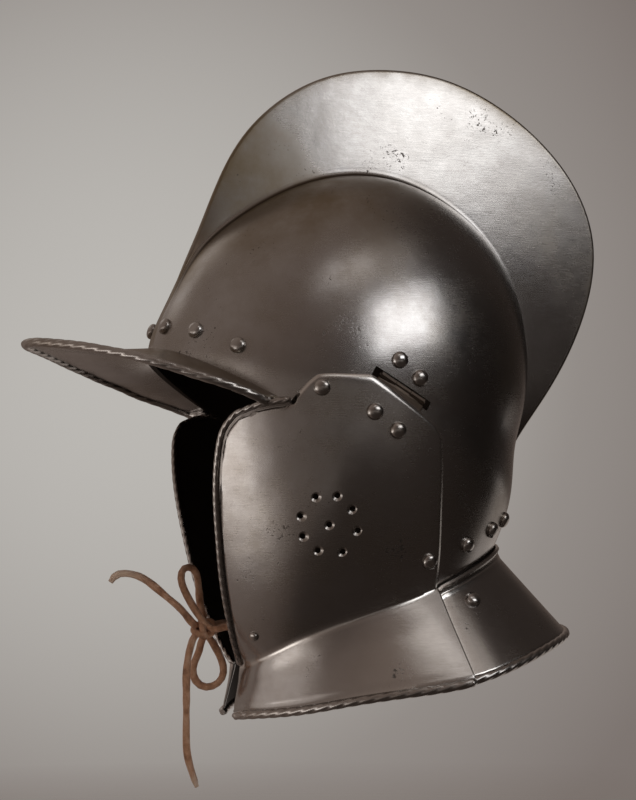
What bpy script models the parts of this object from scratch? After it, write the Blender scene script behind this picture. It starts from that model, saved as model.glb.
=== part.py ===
# Burgonet helmet: skull with a high comb and a peak, hinged cheek pieces, neck guard, rivets and a tied lace.
# Metres. +X is the wearer's left, +Y the back of the head, +Z up. The origin is the head's seat, just under the
# highest point inside the bowl.
# Outlines seen from the side are tables of (front, up) in shares of SIDE_UNIT, measured from the widest
# point of the bowl.

import math

import bmesh
import bpy
import numpy as np
from mathutils import Matrix, Vector

# Skull
SIDE_UNIT = 0.110  # half the bowl's length, the unit of the side outlines
HEAD_HALF_WIDTH = 0.090
WALL = 0.0015  # thickness of every plate
SEAT_HEIGHT = 1.16  # height of the head's seat over the widest point, share of SIDE_UNIT
SEAT_GAP = 0.0003  # clearance between touching pieces

# Comb
COMB_HEIGHT = 0.082
COMB_SLOT_HALF = 0.0005  # half the hollow inside the comb, at its edge
COMB_TAPER = 0.057  # half thickness gained for each metre below the edge
COMB_EDGE = 0.005  # solid edge over the hollow of the comb
COMB_FILLET = 0.005
COMB_START = 0.009  # half width of the strip that turns up into the comb
COMB_FADE = 0.003

# Peak
PEAK_HALF_WIDTH = 0.0820
PEAK_LENGTH = 0.1295  # from its roots at the temples to its tip
PEAK_RISE = 0.0358
PEAK_DISH = 0.002

# Rolled edges
BEAD = 0.0026  # radius of the rolled edges
FRONT_BEAD = 0.0018  # and of those up the front of a cheek piece

# Cheek pieces
CHEEK_GAP = 0.0020  # between the skull and a cheek piece, room for the hinge leaf
VENT_RADIUS = 0.0025

# Neck guard and collar flange
RIM_HALF_WIDTH = 0.097
GUARD_GAP = 0.0010
GUARD_BAND = 0.0055  # flat band of the neck guard round the skull
NAPE_LAP = 0.008  # skull that goes down inside the neck guard
SEAM_LAP = 0.006  # cheek flange over the neck guard
TONGUE_DROP = 0.085  # how far the guard's lapped end dips under the seam, share of SIDE_UNIT

# Rivets
RIVET_RADIUS = 0.0047
RIVET_RISE = 0.0032
SMALL_RIVET = 0.6

# Hinges
BARREL_RADIUS = 0.0022
HINGE_PIN_RADIUS = 0.0009
LEAF = 0.0011
LEAF_GAP = 0.0008  # between a leaf and the curved bowl over it
BARREL_LENGTH = 0.030
SKULL_LEAF_REACH = 0.017  # from the pin to the leaf's end
CHEEK_LEAF_REACH = 0.027
SLOT_CLEARANCE = 0.0005

# Lace
LACE_RADIUS = 0.0021

# Half outline of the bowl at its middle plane: angle over the front in degrees, radius
BOWL = [
    (0, 0.973), (15, 1.023), (30, 1.027), (45, 1.064), (60, 1.093), (75, 1.141), (90, 1.203),
    (105, 1.245), (120, 1.250), (135, 1.234), (150, 1.185), (165, 1.123), (180, 1.072),
    (195, 1.043), (210, 1.125), (225, 1.215), (240, 1.370), (255, 1.545), (270, 1.600),
    (285, 1.547), (300, 1.303), (315, 1.103), (330, 1.000), (345, 0.955),
]
# Outline of the comb: angle over the front, height over the bowl as a share of COMB_HEIGHT
COMB = [
    (24, 0.0), (32, 0.007), (40, 0.030), (50, 0.105), (60, 0.269), (70, 0.478), (80, 0.643), (90, 0.756),
    (100, 0.821), (110, 0.876), (120, 0.901), (130, 0.905), (140, 0.891), (150, 0.807), (160, 0.606),
    (170, 0.380), (180, 0.191), (190, 0.073), (200, 0.0),
]
# Peak edge from the root to the tip: (half width, forward, rise), shares of the three peak sizes
PEAK = [
    (0.94, 0.045, 0.03), (0.985, 0.12, 0.10), (1.00, 0.22, 0.22), (0.997, 0.325, 0.335), (0.963, 0.40, 0.42),
    (0.925, 0.455, 0.495), (0.892, 0.515, 0.565), (0.85, 0.575, 0.63), (0.778, 0.643, 0.71),
    (0.674, 0.718, 0.785), (0.56, 0.787, 0.855), (0.424, 0.855, 0.915), (0.28, 0.923, 0.965),
    (0.16, 0.973, 0.995), (0.0, 1.0, 1.0),
]
# Lower edge of the bowl's side, under the cheek piece, from the peak's root to the nape: (front, up)
SKULL_SIDE = [(0.445, -0.062), (0.33, -0.17), (0.16, -0.36), (0.0, -0.58), (-0.11, -0.82), (-0.20, -1.12)]
BROW_TOP = (0.991, 0.252)
NAPE_END = (-0.945, -0.743)  # where the neck guard's top crosses the middle
NAPE_SIDE = (-0.412, -0.966)  # and where it meets the cheek piece
# Cheek piece from the crease's front corner up the front, over the top and down the rear: (front, up)
CHEEK_FRONT = [
    (0.518, -1.409), (0.573, -1.291), (0.627, -1.132), (0.673, -0.950), (0.709, -0.745), (0.736, -0.545),
    (0.745, -0.391), (0.740, -0.273), (0.722, -0.190), (0.680, -0.127),
]
CHEEK_TOP = [
    (0.680, -0.127), (0.600, -0.092), (0.510, -0.072), (0.450, -0.066), (0.410, -0.018), (0.365, 0.036),
    (0.320, 0.073), (0.255, 0.078), (0.150, 0.077), (0.050, 0.075),
    (-0.123, -0.043), (-0.305, -0.168), (-0.342, -0.225),
]
CHEEK_REAR = [(-0.382, -1.0), (-0.376, -0.8), (-0.364, -0.6), (-0.355, -0.37), (-0.342, -0.225)]
CREASE = [(0.518, -1.409), (0.315, -1.255), (0.082, -1.155), (-0.173, -1.073), (-0.382, -1.0)]
# Rim of the collar from the chin to the nape: (half width as a share of RIM_HALF_WIDTH, front, up)
RIM = [
    (0.13, 0.568, -1.632), (0.36, 0.475, -1.610), (0.598, 0.322, -1.578), (0.784, 0.118, -1.528),
    (0.907, -0.109, -1.487), (0.969, -0.30, -1.460), (1.0, -0.491, -1.423), (0.928, -0.745, -1.355),
    (0.722, -1.018, -1.278), (0.464, -1.209, -1.233), (0.22, -1.29, -1.212), (0.0, -1.31, -1.205),
]
SEAM_FRONT = -0.475  # where the cheek flange ends on the rim, (front)
# Rivets on each side: name, plate, front, up, size share
RIVETS = [
    ("brow_rivet_inner", "skull", 0.945, 0.355, 1.0), ("brow_rivet_middle", "skull", 0.842, 0.315, 1.0),
    ("brow_rivet_outer", "skull", 0.672, 0.226, 1.0), ("lobe_rivet", "cheek", 0.300, 0.009, 1.0),
    ("cheek_hinge_rivet_front", "cheek", 0.036, -0.109, 1.0),
    ("cheek_hinge_rivet_rear", "cheek", -0.087, -0.200, 1.0),
    ("skull_hinge_rivet_front", "skull", -0.109, 0.155, 1.0),
    ("skull_hinge_rivet_rear", "skull", -0.218, 0.067, 1.0),
    ("cheek_rear_rivet", "cheek", -0.309, -0.855, 1.0), ("lace_rivet", "cheek", 0.518, -1.236, SMALL_RIVET),
    ("nape_rivet_outer", "skull", -0.564, -0.773, 1.0), ("nape_rivet_middle", "skull", -0.750, -0.695, 1.0),
    ("nape_rivet_inner", "skull", -0.862, -0.641, 1.0),
]
GUARD_RIVET = (0.17, 0.84)  # share round the guard from the seam to the middle, share up its flare
VENT_CENTRE = (0.243, -0.671)
# Vent holes round the middle one: degrees from the front, turning downwards, and distance in millimetres
VENTS = [(25, 16.0), (67, 15.7), (116, 17.1), (167, 16.2), (214, 15.4), (255, 16.7), (296, 17.1), (344, 16.4)]
HINGE_LINE = [(0.029, 0.100), (-0.271, -0.076)]  # ends of the slot in the skull, (front, up)

# Centre of the lace's knot, and the lace's route from it, in millimetres
KNOT = (4.0, -78.2, -260.8)
KNOT_SIZE = (6.5, 7.0, 5.0)
LACE = {
    "lace_end_left": [(2, -6, 3), (5, -11, 8), (7, -16, 13), (7, -22, 18), (5, -30, 25), (2, -37, 30),
                      (-1, -44, 32), (-4, -50, 31), (-5, -53, 27)],
    "lace_loop_upper": [(5, -1.5, 5.2), (5, -7, 13), (5, -12, 22), (4, -14, 30), (1, -11, 35), (-2, -5, 34),
                        (-4, -2, 27), (-5, -1, 18), (-4, 0, 11), (-3, 1, 6)],
    "lace_loop_lower": [(-1, 4, -5), (0, 7, -10), (1, 10, -16), (1, 12, -23), (-1, 11, -29), (-3, 6, -33),
                        (-5, 1, -33), (-7, -3, -29), (-8, -4, -23), (-8, -2, -17), (-7, 0, -11), (-6, 1, -6)],
    "lace_end_right": [(3, -5.5, -3.6), (5, -8, -8), (6, -10, -15), (6, -11, -24), (6, -11, -34),
                       (6, -11, -44), (6, -11, -57), (5, -10, -71), (4, -7, -81), (3, -4, -89)],
    "lace_tie_left": [(6, 5, 0), (8, 9, 1), (11, 15, 2), (16, 20, 2), (23, 23, 1), (31, 25, -1)],
    "lace_tie_right": [(-6, 5, 0), (-13, 8, 1), (-20, 15, 2), (-26, 20, 2), (-32, 23, 1), (-40, 25, -1)],
}

# Facets: along and up the bowl, the comb's fillet, face and edge, across the peak,
# round beads and turned pieces
TURNS = 24
RINGS = 8
FILLET_STEPS = 2
FACE_STEPS = 2
EDGE_STEPS = 2
PEAK_STEPS = 3
BEAD_STEPS = 3
SIDES = 8
PIN_SIDES = 6

# Looks: colour, metallic, roughness
STEEL = ((0.16, 0.145, 0.13), 1.0, 0.35)
LEATHER = ((0.33, 0.21, 0.12), 0.0, 0.85)


def spline(table, x, wrap=0.0):
    """Smooth curve through the rows of a table whose first column is the position."""
    t = np.array(table, float)
    if wrap:
        low, high = t.copy(), t.copy()
        low[:, 0] -= wrap
        high[:, 0] += wrap
        t = np.concatenate([low[-4:], t, high[:4]])
        x = (np.asarray(x, float) - table[0][0]) % wrap + table[0][0]
    k, v = t[:, 0], t[:, 1:]
    h = np.diff(k)[:, None]
    slope = np.diff(v, axis=0) / h
    n = len(k)
    m = np.zeros((n, n))
    rhs = np.zeros((n, v.shape[1]))
    m[0, 0] = m[-1, -1] = 1.0
    for i in range(1, n - 1):
        m[i, i - 1], m[i, i], m[i, i + 1] = h[i - 1, 0], 2 * (h[i - 1, 0] + h[i, 0]), h[i, 0]
        rhs[i] = 6 * (slope[i] - slope[i - 1])
    c = np.linalg.solve(m, rhs)
    x = np.asarray(x, float)
    i = np.clip(np.searchsorted(k, x) - 1, 0, n - 2)
    a, b = (k[i + 1] - x)[..., None], (x - k[i])[..., None]
    d = h[i]
    bend = (c[i] * a**3 + c[i + 1] * b**3) / (6 * d)
    out = bend + (v[i] / d - c[i] * d / 6) * a + (v[i + 1] / d - c[i + 1] * d / 6) * b
    return out[..., 0] if v.shape[1] == 1 else out


def along(points, share):
    """Points at shares of the length of a polyline."""
    p = np.asarray(points, float)
    s = np.concatenate([[0], np.cumsum(np.linalg.norm(np.diff(p, axis=0), axis=1))])
    at = np.asarray(share, float) * s[-1]
    return np.stack([np.interp(at, s, p[:, i]) for i in range(p.shape[1])], -1)


def curve(points, count=200):
    """A smooth curve through points, as many points evenly spaced."""
    p = np.asarray(points, float)
    s = np.concatenate([[0], np.cumsum(np.linalg.norm(np.diff(p, axis=0), axis=1))])
    fine = spline(np.column_stack([s, p]), np.linspace(0, s[-1], 4 * count))
    return along(fine, np.linspace(0, 1, count))


def polar(front, up):
    """Angle over the front and radius of a point seen from the side, both in SIDE_UNIT."""
    return np.degrees(np.arctan2(up, front)), np.hypot(front, up)


def dome(front, up, off=0.0):
    """Point of the head form, at an offset, that lies at (front, up) seen from the side."""
    front, up = np.asarray(front, float), np.asarray(up, float)
    angle, r = polar(front, up)
    j = spline(BOWL, angle, 360.0) + off / SIDE_UNIT
    x = (HEAD_HALF_WIDTH + off) * np.sqrt(np.clip(1 - (r / j) ** 2, 0, 1))
    return np.stack([x, -SIDE_UNIT * front, SIDE_UNIT * up], -1)


def chart(front, up, off=0.0):
    """(front, up) to the flat chart of the dome, on which the middle plane is the unit circle."""
    angle, r = polar(front, up)
    j = spline(BOWL, angle, 360.0) + off / SIDE_UNIT
    q = np.arcsin(np.clip(r / j, 0, 1)) / (math.pi / 2)
    a = np.radians(angle)
    return np.stack([q * np.cos(a), q * np.sin(a)], -1)


def unchart(q, off=0.0):
    """A point of the chart, on the head form."""
    angle, rho = polar(q[..., 0], q[..., 1])
    j = spline(BOWL, angle, 360.0) * SIDE_UNIT + off
    r = j * np.sin(rho * math.pi / 2)
    a = np.radians(angle)
    x = (HEAD_HALF_WIDTH + off) * np.cos(rho * math.pi / 2)
    return np.stack([x, -r * np.cos(a), r * np.sin(a)], -1)


def patch(front, rear, low, high, off):
    """Patch of the head form at an offset, between four edges given as (front, up)."""
    edges = [chart(e[:, 0], e[:, 1], off) for e in (front, rear, low, high)]
    return unchart(coons(*edges), off)


def coons(front, rear, low, high):
    """Patch between four edges: front and rear run low to high, low and high run front to rear."""
    u = np.linspace(0, 1, len(low))[:, None, None]
    v = np.linspace(0, 1, len(front))[None, :, None]
    ruled = (1 - u) * front[None] + u * rear[None] + (1 - v) * low[:, None] + v * high[:, None]
    corners = (1 - u) * ((1 - v) * front[0] + v * front[-1]) + u * ((1 - v) * rear[0] + v * rear[-1])
    return ruled - corners


def frame_at(front, up, off):
    """Place on the head form seen from the side, with its normal as the local Z axis."""
    step = 0.01
    point = dome(front, up, off)
    ahead = dome(front + step, up, off) - dome(front - step, up, off)
    above = dome(front, up + step, off) - dome(front, up - step, off)
    z = np.cross(above, ahead)
    z = z / np.linalg.norm(z)
    x = ahead / np.linalg.norm(ahead)
    y = np.cross(z, x)
    return point, x, y, z


def normals(grid):
    du = np.gradient(grid, axis=0)
    dv = np.gradient(grid, axis=1)
    n = np.cross(du, dv)
    return n / np.linalg.norm(n, axis=-1, keepdims=True)


def thickened(outer, thickness):
    """The inner side of a plate whose outer side is a grid."""
    n = normals(outer)
    middle = outer[outer.shape[0] // 2, outer.shape[1] // 2]
    if np.dot(n[outer.shape[0] // 2, outer.shape[1] // 2], middle * (1, 1, 0)) < 0:
        n = -n
    return outer - thickness * n


def mirrored(grid):
    other = grid[:, -2::-1] * (-1, 1, 1)
    return np.concatenate([grid, other], axis=1)


def placed(name, data, look):
    """An object in the scene with a material of its own; look is its colour, metallic and roughness."""
    colour, metallic, roughness = look
    material = bpy.data.materials.new(name)
    material.use_nodes = True
    shader = material.node_tree.nodes["Principled BSDF"]
    shader.inputs["Base Color"].default_value = (*colour, 1.0)
    shader.inputs["Metallic"].default_value = metallic
    shader.inputs["Roughness"].default_value = roughness
    data.materials.clear()
    data.materials.append(material)
    obj = bpy.data.objects.new(name, data)
    bpy.context.scene.collection.objects.link(obj)
    return obj


def finished(name, mesh):
    bm = bmesh.new()
    bm.from_mesh(mesh)
    bmesh.ops.recalc_face_normals(bm, faces=bm.faces)
    if bm.calc_volume(signed=True) < 0:
        bmesh.ops.reverse_faces(bm, faces=bm.faces)
    bmesh.ops.translate(bm, verts=bm.verts, vec=(0, 0, -SEAT_HEIGHT * SIDE_UNIT))
    bm.to_mesh(mesh)
    bm.free()
    mesh.shade_smooth()
    mesh.set_sharp_from_angle(angle=math.radians(40))
    return placed(name, mesh, STEEL)


def solid_of(name, bm):
    mesh = bpy.data.meshes.new(name)
    bm.to_mesh(mesh)
    bm.free()
    return finished(name, mesh)


def flip(obj, name):
    """The same piece on the wearer's right."""
    mesh = obj.data.copy()
    mesh.name = name
    mesh.transform(Matrix.Scale(-1, 4, (1, 0, 0)))
    mesh.flip_normals()
    return placed(name, mesh, STEEL)


def hidden(obj):
    obj.hide_render = True
    obj.display_type = "WIRE"
    return obj


def boolean(obj, other, operation, solver="EXACT"):
    hidden(other)
    mod = obj.modifiers.new(other.name, "BOOLEAN")
    mod.operation = operation
    mod.solver = solver
    mod.object = other


def mirror_with_cuts(obj, name):
    """The same piece with its Booleans on the wearer's right."""
    other = flip(obj, name)
    for mod in obj.modifiers:
        tool = flip(mod.object, mod.object.name + "_right")
        boolean(other, tool, mod.operation, mod.solver)
    return other


def shell(name, outer, inner, bead, steps=BEAD_STEPS):
    """A plate between two grids of points, its edge closed by a rolled bead of the radius given there."""
    rows, cols = outer.shape[:2]
    loop = [(i, 0) for i in range(rows)] + [(rows - 1, j) for j in range(1, cols)]
    loop += [(i, cols - 1) for i in range(rows - 2, -1, -1)] + [(0, j) for j in range(cols - 2, 0, -1)]
    verts = [tuple(p) for p in outer.reshape(-1, 3)] + [tuple(p) for p in inner.reshape(-1, 3)]
    shift = rows * cols
    faces = []
    for i in range(rows - 1):
        for j in range(cols - 1):
            a, b, c, d = i * cols + j, (i + 1) * cols + j, (i + 1) * cols + j + 1, i * cols + j + 1
            faces.append((a, b, c, d))
            faces.append((shift + d, shift + c, shift + b, shift + a))
    ring = []
    count = len(loop)
    middles = np.array([(outer[i, j] + inner[i, j]) / 2 for i, j in loop])
    for k, (i, j) in enumerate(loop):
        top, low = outer[i, j], inner[i, j]
        across = top - low
        half = np.linalg.norm(across) / 2
        across = across / (2 * half)
        ahead = middles[(k + 1) % count] - middles[k - 1]
        out = np.cross(ahead, across)
        out = out / np.linalg.norm(out)
        inward = outer[min(max(i, 1), rows - 2), min(max(j, 1), cols - 2)] - top
        if np.dot(out, inward) > 0:
            out = -out
        r = max(bead[i, j], half * 1.02)
        centre = middles[k] + out * math.sqrt(r * r - half * half)
        start = math.asin(half / r)
        turn = np.linspace(math.pi - start, -(math.pi - start), steps + 2)[1:-1]
        first = len(verts)
        for t in turn:
            verts.append(tuple(centre + r * (math.cos(t) * out + math.sin(t) * across)))
        ring.append([i * cols + j] + list(range(first, first + steps)) + [shift + i * cols + j])
    for k in range(count):
        a, b = ring[k], ring[(k + 1) % count]
        for s in range(len(a) - 1):
            faces.append((a[s], a[s + 1], b[s + 1], b[s]))
    mesh = bpy.data.meshes.new(name)
    mesh.from_pydata(verts, [], faces)
    return finished(name, mesh)


def turned(bm, profile, frame, sides):
    """A turned solid: profile rows are (radius, height), from its base's middle to its top's."""
    point, x, y, z = frame
    rings = []
    for r, h in profile:
        if r == 0:
            rings.append([bm.verts.new(point + h * z)] * sides)
            continue
        a = np.arange(sides) * 2 * math.pi / sides
        rings.append([bm.verts.new(point + h * z + r * (math.cos(t) * x + math.sin(t) * y)) for t in a])
    for low, high in zip(rings, rings[1:]):
        for k in range(sides):
            n = (k + 1) % sides
            corners = []
            for v in (low[k], low[n], high[n], high[k]):
                if v not in corners:
                    corners.append(v)
            bm.faces.new(corners)


def cylinder(name, start, end, radius, sides=SIDES):
    axis = end - start
    length = np.linalg.norm(axis)
    z = axis / length
    x = np.cross(z, (1.0, 0.0, 0.0))
    x = x / np.linalg.norm(x)
    bm = bmesh.new()
    turned(bm, [(0, 0), (radius, 0), (radius, length), (0, length)], (start, x, np.cross(z, x), z), sides)
    return solid_of(name, bm)


def box(bm, centre, axes, halves):
    corners = {}
    for i in (-1, 1):
        for j in (-1, 1):
            for k in (-1, 1):
                p = centre + i * halves[0] * axes[0] + j * halves[1] * axes[1] + k * halves[2] * axes[2]
                corners[i, j, k] = bm.verts.new(p)
    for axis in range(3):
        for side in (-1, 1):
            face = []
            for a, b in ((-1, -1), (1, -1), (1, 1), (-1, 1)):
                key = [a, b]
                key.insert(axis, side)
                face.append(corners[tuple(key)])
            bm.faces.new(face)


def cut_edge(start, slope, corner, count):
    """A cut across the bowl, straight seen from the side, from its side corner to the comb, on the chart."""
    reach = np.linspace(0, 1.6, 1200)
    sign = 1 if start[0] > corner[0] else -1
    front = corner[0] + sign * reach
    up = corner[1] + slope * (front - corner[0])
    angle, r = polar(front, up)
    x = HEAD_HALF_WIDTH * np.sqrt(np.clip(1 - (r / spline(BOWL, angle, 360.0)) ** 2, 0, 1))
    last = np.argmax(x < COMB_START)
    line = dome(front[:last], up[:last])
    line = along(np.column_stack([line, chart(front[:last], up[:last])]), np.linspace(0, 1, count))
    return line[:, 3:]


def comb_share(angle):
    first, last = COMB[0][0], COMB[-1][0]
    if angle <= first or angle >= last:
        return 0.0
    return max(0.0, float(spline(COMB, angle)))


def comb_strip(angle, off, steps):
    """Rows (half thickness, radius) from the comb's foot to its edge at one angle, the last in the middle."""
    fillet_steps, face_steps, edge_steps = steps
    bowl = spline(BOWL, angle, 360.0) * SIDE_UNIT + off
    start = COMB_START + off * 0.5
    full = COMB_HEIGHT * comb_share(angle)
    height = full if off == 0 else full * full / (full + COMB_EDGE)
    thin = full / (full + COMB_FADE)
    edge = (WALL + COMB_SLOT_HALF + off) * thin + 0.3 * start * (1 - thin)
    base = edge + COMB_TAPER * full + 0.3 * start * (1 - thin)
    fillet = COMB_FILLET * height / (height + 1.5 * COMB_FILLET)
    foot = np.array([start, bowl * math.sqrt(1 - (start / (HEAD_HALF_WIDTH + off)) ** 2)])
    knee, rise = np.array([base, bowl]), np.array([base, bowl + fillet])
    shoulder = np.array([edge, bowl + height - min(edge, 0.4 * height)])
    rows = []
    for t in np.linspace(0, 1, fillet_steps + 1)[1:]:
        rows.append((1 - t) ** 2 * foot + 2 * t * (1 - t) * knee + t * t * rise)
    for t in np.linspace(0, 1, face_steps + 1)[1:]:
        rows.append((1 - t) * rise + t * shoulder)
    for t in np.linspace(0, math.pi / 2, edge_steps + 1)[1:]:
        rows.append(np.array([edge * math.cos(t), shoulder[1] + (bowl + height - shoulder[1]) * math.sin(t)]))
    rows[-1][0] = 0.0
    return rows


def half_bowl(off, steps, turns, rings):
    """Left half of the bowl and comb: from the brow to the nape, and from the side to the comb's edge."""
    brow_slope = (BROW_TOP[1] - SKULL_SIDE[0][1]) / (BROW_TOP[0] - SKULL_SIDE[0][0])
    nape_slope = (NAPE_END[1] - NAPE_SIDE[1]) / (NAPE_END[0] - NAPE_SIDE[0])
    low_nape = NAPE_SIDE[1] + nape_slope * (SKULL_SIDE[-1][0] - NAPE_SIDE[0]) - NAPE_LAP / SIDE_UNIT
    nape_corner = (SKULL_SIDE[-1][0], low_nape)
    front = cut_edge(BROW_TOP, brow_slope, SKULL_SIDE[0], rings + 1)
    rear = cut_edge(NAPE_END, nape_slope, nape_corner, rings + 1)
    side = curve(SKULL_SIDE[:-1] + [nape_corner], turns + 1)
    low = chart(side[:, 0], side[:, 1])
    ends = [np.degrees(np.arctan2(e[-1][1], e[-1][0])) % 360 for e in (front, rear)]
    angles = np.linspace(ends[0], ends[1], turns + 1)
    ring = math.acos(COMB_START / HEAD_HALF_WIDTH) / (math.pi / 2)
    high = ring * np.stack([np.cos(np.radians(angles)), np.sin(np.radians(angles))], -1)
    points = unchart(coons(front, rear, low, high), off)
    strips = []
    for angle in angles:
        a = math.radians(angle)
        strips.append([(x, -r * math.cos(a), r * math.sin(a)) for x, r in comb_strip(angle, off, steps)])
    return np.concatenate([points, np.array(strips)], axis=1)


def peak_rows(brow, steps):
    """Peak from its edge to the brow line, one row for each point of the brow line."""
    table = np.array(PEAK)
    edge = curve(table * (PEAK_HALF_WIDTH, PEAK_LENGTH, PEAK_RISE), 400)
    root = brow[0]
    edge = np.column_stack([edge[:, 0], root[1] - edge[:, 1], root[2] + edge[:, 2]])
    rows = len(brow)
    edge = along(edge, np.linspace(0, 1, rows))
    out = []
    for k in range(steps):
        t = k / steps
        dish = PEAK_DISH * math.sin(math.pi * t) * np.sin(np.linspace(0, math.pi / 2, rows))
        p = edge + (brow - edge) * t
        p[:, 2] -= dish
        out.append(p)
    return np.array(out)


def make_skull():
    steps = (FILLET_STEPS, FACE_STEPS, EDGE_STEPS)
    outer, inner = (half_bowl(off, steps, TURNS, RINGS) for off in (0.0, -WALL))
    peak = peak_rows(outer[0], PEAK_STEPS)
    whole = np.concatenate([peak, outer])
    under = thickened(whole, WALL)
    lower = np.concatenate([under[: PEAK_STEPS + 1], inner[1:]])
    lower[:, -1, 0] = 0.0
    whole, lower = mirrored(whole), mirrored(lower)
    bead = np.full(whole.shape[:2], WALL / 2)
    bead[0, :] = BEAD
    return shell("skull", whole, lower, bead)


def rim_curve():
    """Rim of the collar's left half from the chin to the nape, closely spaced."""
    table = np.array(RIM) * (RIM_HALF_WIDTH, SIDE_UNIT, SIDE_UNIT)
    line = curve(table, 300)
    return np.column_stack([line[:, 0], -line[:, 1], line[:, 2]])


def cheek_outer(top_steps, plate_steps, flange_steps):
    """Outer side of the left cheek piece: rows from the rim to the top, columns from front to rear."""
    top = np.array(CHEEK_TOP)
    shares = np.concatenate([[0], np.cumsum(np.linalg.norm(np.diff(top, axis=0), axis=1))])
    shares /= shares[-1]
    stations = np.interp(np.arange(0, len(top) - 1 + 1e-9, 1 / top_steps), range(len(top)), shares)
    high = along(top, stations)
    low = along(curve(CREASE), stations)
    front, rear = curve(CHEEK_FRONT, plate_steps + 1), curve(CHEEK_REAR, plate_steps + 1)
    plate = patch(front, rear, low, high, CHEEK_GAP + WALL).transpose(1, 0, 2)
    rim = rim_curve()
    seam = np.argmin(np.abs(rim[:, 1] + SEAM_FRONT * SIDE_UNIT))
    rim = along(rim[: seam + 1], stations)
    t = np.linspace(0, 1, flange_steps + 1)[:-1, None, None]
    flange = rim[None] * (1 - t) + plate[0][None] * t
    return np.concatenate([flange, plate])


def make_cheek(side):
    top_steps, plate_steps, flange_steps = 2, 7, 2
    outer = cheek_outer(top_steps, plate_steps, flange_steps)
    inner = thickened(outer, WALL)
    bead = np.full(outer.shape[:2], WALL / 2)
    bead[0, :] = BEAD
    bead[flange_steps + 1 :, 0] = FRONT_BEAD
    bead[-1, : 3 * top_steps + 1] = FRONT_BEAD
    return shell("cheek_" + side, outer, inner, bead)


def vent_cutter():
    """The ring of vent holes in a cheek piece, with one in its middle."""
    off = CHEEK_GAP + WALL
    point, x, y, z = frame_at(*VENT_CENTRE, off)
    bm = bmesh.new()
    places = [point]
    for degrees, distance in VENTS:
        a = math.radians(degrees)
        places.append(point + distance / 1000 * (math.cos(a) * x + math.sin(a) * y))
    depth = 4 * (WALL + CHEEK_GAP)
    for place in places:
        profile = [(0, -depth), (VENT_RADIUS, -depth), (VENT_RADIUS, depth), (0, depth)]
        turned(bm, profile, (place, x, y, z), SIDES)
    return solid_of("vent_cutter", bm)


def guard_half(flare_steps, around):
    """Outer side of the neck guard's left half: rows from the rim up, columns from the seam to the middle."""
    slope = (NAPE_END[1] - NAPE_SIDE[1]) / (NAPE_END[0] - NAPE_SIDE[0])
    line = cut_edge(NAPE_END, slope, NAPE_SIDE, 200)
    last = line[-1] / np.linalg.norm(line[-1])
    line = np.vstack([line, last])
    top = unchart(line, GUARD_GAP + WALL)
    top[-1, 0] = 0.0
    stations = np.concatenate([[0], np.linspace(2 * BEAD / RIM_HALF_WIDTH, 1, around)])
    top = along(top, stations)
    lap = SEAM_LAP / SIDE_UNIT
    tongue = dome(NAPE_SIDE[0] + lap, NAPE_SIDE[1] - slope * lap - TONGUE_DROP, GUARD_GAP + WALL)
    top = np.vstack([tongue, top])
    band = top.copy()
    band[:, 2] -= GUARD_BAND
    rim = rim_curve()
    step_in = BEAD + WALL + 2 * SEAT_GAP
    inset = np.array([(RIM_HALF_WIDTH - step_in) / RIM_HALF_WIDTH] * 2 + [1.0])
    middle = np.array([0, (rim[0, 1] + rim[-1, 1]) / 2, 0])
    rim = (rim - middle) * inset + middle
    seam = np.argmin(np.abs(rim[:, 1] + SEAM_FRONT * SIDE_UNIT))
    lead = np.argmin(np.abs(rim[:, 1] + SEAM_FRONT * SIDE_UNIT + SEAM_LAP))
    rim = np.vstack([rim[lead], along(rim[seam:], stations)])
    rim[-1, 0] = 0.0
    t = np.linspace(0, 1, flare_steps + 1)[:, None, None]
    return np.concatenate([rim[None] * (1 - t) + band[None] * t, top[None]])


def make_guard():
    half = guard_half(3, 9)
    outer = mirrored(half)
    inner = thickened(outer, WALL)
    bead = np.full(outer.shape[:2], WALL / 2)
    bead[0, 2:-2] = BEAD
    return shell("neck_guard", outer, inner, bead)


def guard_frame():
    half = guard_half(10, 30)
    i, j = round(10 * GUARD_RIVET[1]), 1 + round(30 * GUARD_RIVET[0])
    point = half[i, j]
    x = half[i, j + 1] - half[i, j - 1]
    y = half[i + 1, j] - half[i - 1, j]
    z = np.cross(x, y)
    if z[0] < 0:
        z = -z
    x, z = x / np.linalg.norm(x), z / np.linalg.norm(z)
    return point, x, np.cross(z, x), z


def make_rivet(name, frame, share):
    radius, rise = RIVET_RADIUS * share, RIVET_RISE * share
    profile = [(0, SEAT_GAP), (radius, SEAT_GAP)]
    profile += [(radius * math.cos(t), SEAT_GAP + rise * math.sin(t)) for t in (0.45, 0.9)]
    profile.append((0, SEAT_GAP + rise))
    bm = bmesh.new()
    turned(bm, profile, frame, SIDES)
    return solid_of(name, bm)


def make_rivets(guard_frame):
    for name, plate, front, up, share in RIVETS:
        off = 0.0 if plate == "skull" else CHEEK_GAP + WALL
        rivet = make_rivet(name + "_left", frame_at(front, up, off), share)
        flip(rivet, name + "_right")
    rivet = make_rivet("guard_rivet_left", guard_frame, 1.0)
    flip(rivet, "guard_rivet_right")


def hinge_frame():
    """Middle of the hinge, its axis, the way across it towards the skull leaf, and the outward normal."""
    (f0, u0), (f1, u1) = HINGE_LINE
    first, last = dome(f0, u0), dome(f1, u1)
    middle = dome((f0 + f1) / 2, (u0 + u1) / 2)
    axis = (last - first) / np.linalg.norm(last - first)
    normal = frame_at((f0 + f1) / 2, (u0 + u1) / 2, 0.0)[3]
    normal = normal - axis * np.dot(normal, axis)
    normal = normal / np.linalg.norm(normal)
    across = np.cross(axis, normal)
    if across[2] < 0:
        across = -across
    return middle, axis, across, normal, np.linalg.norm(last - first)


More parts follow.
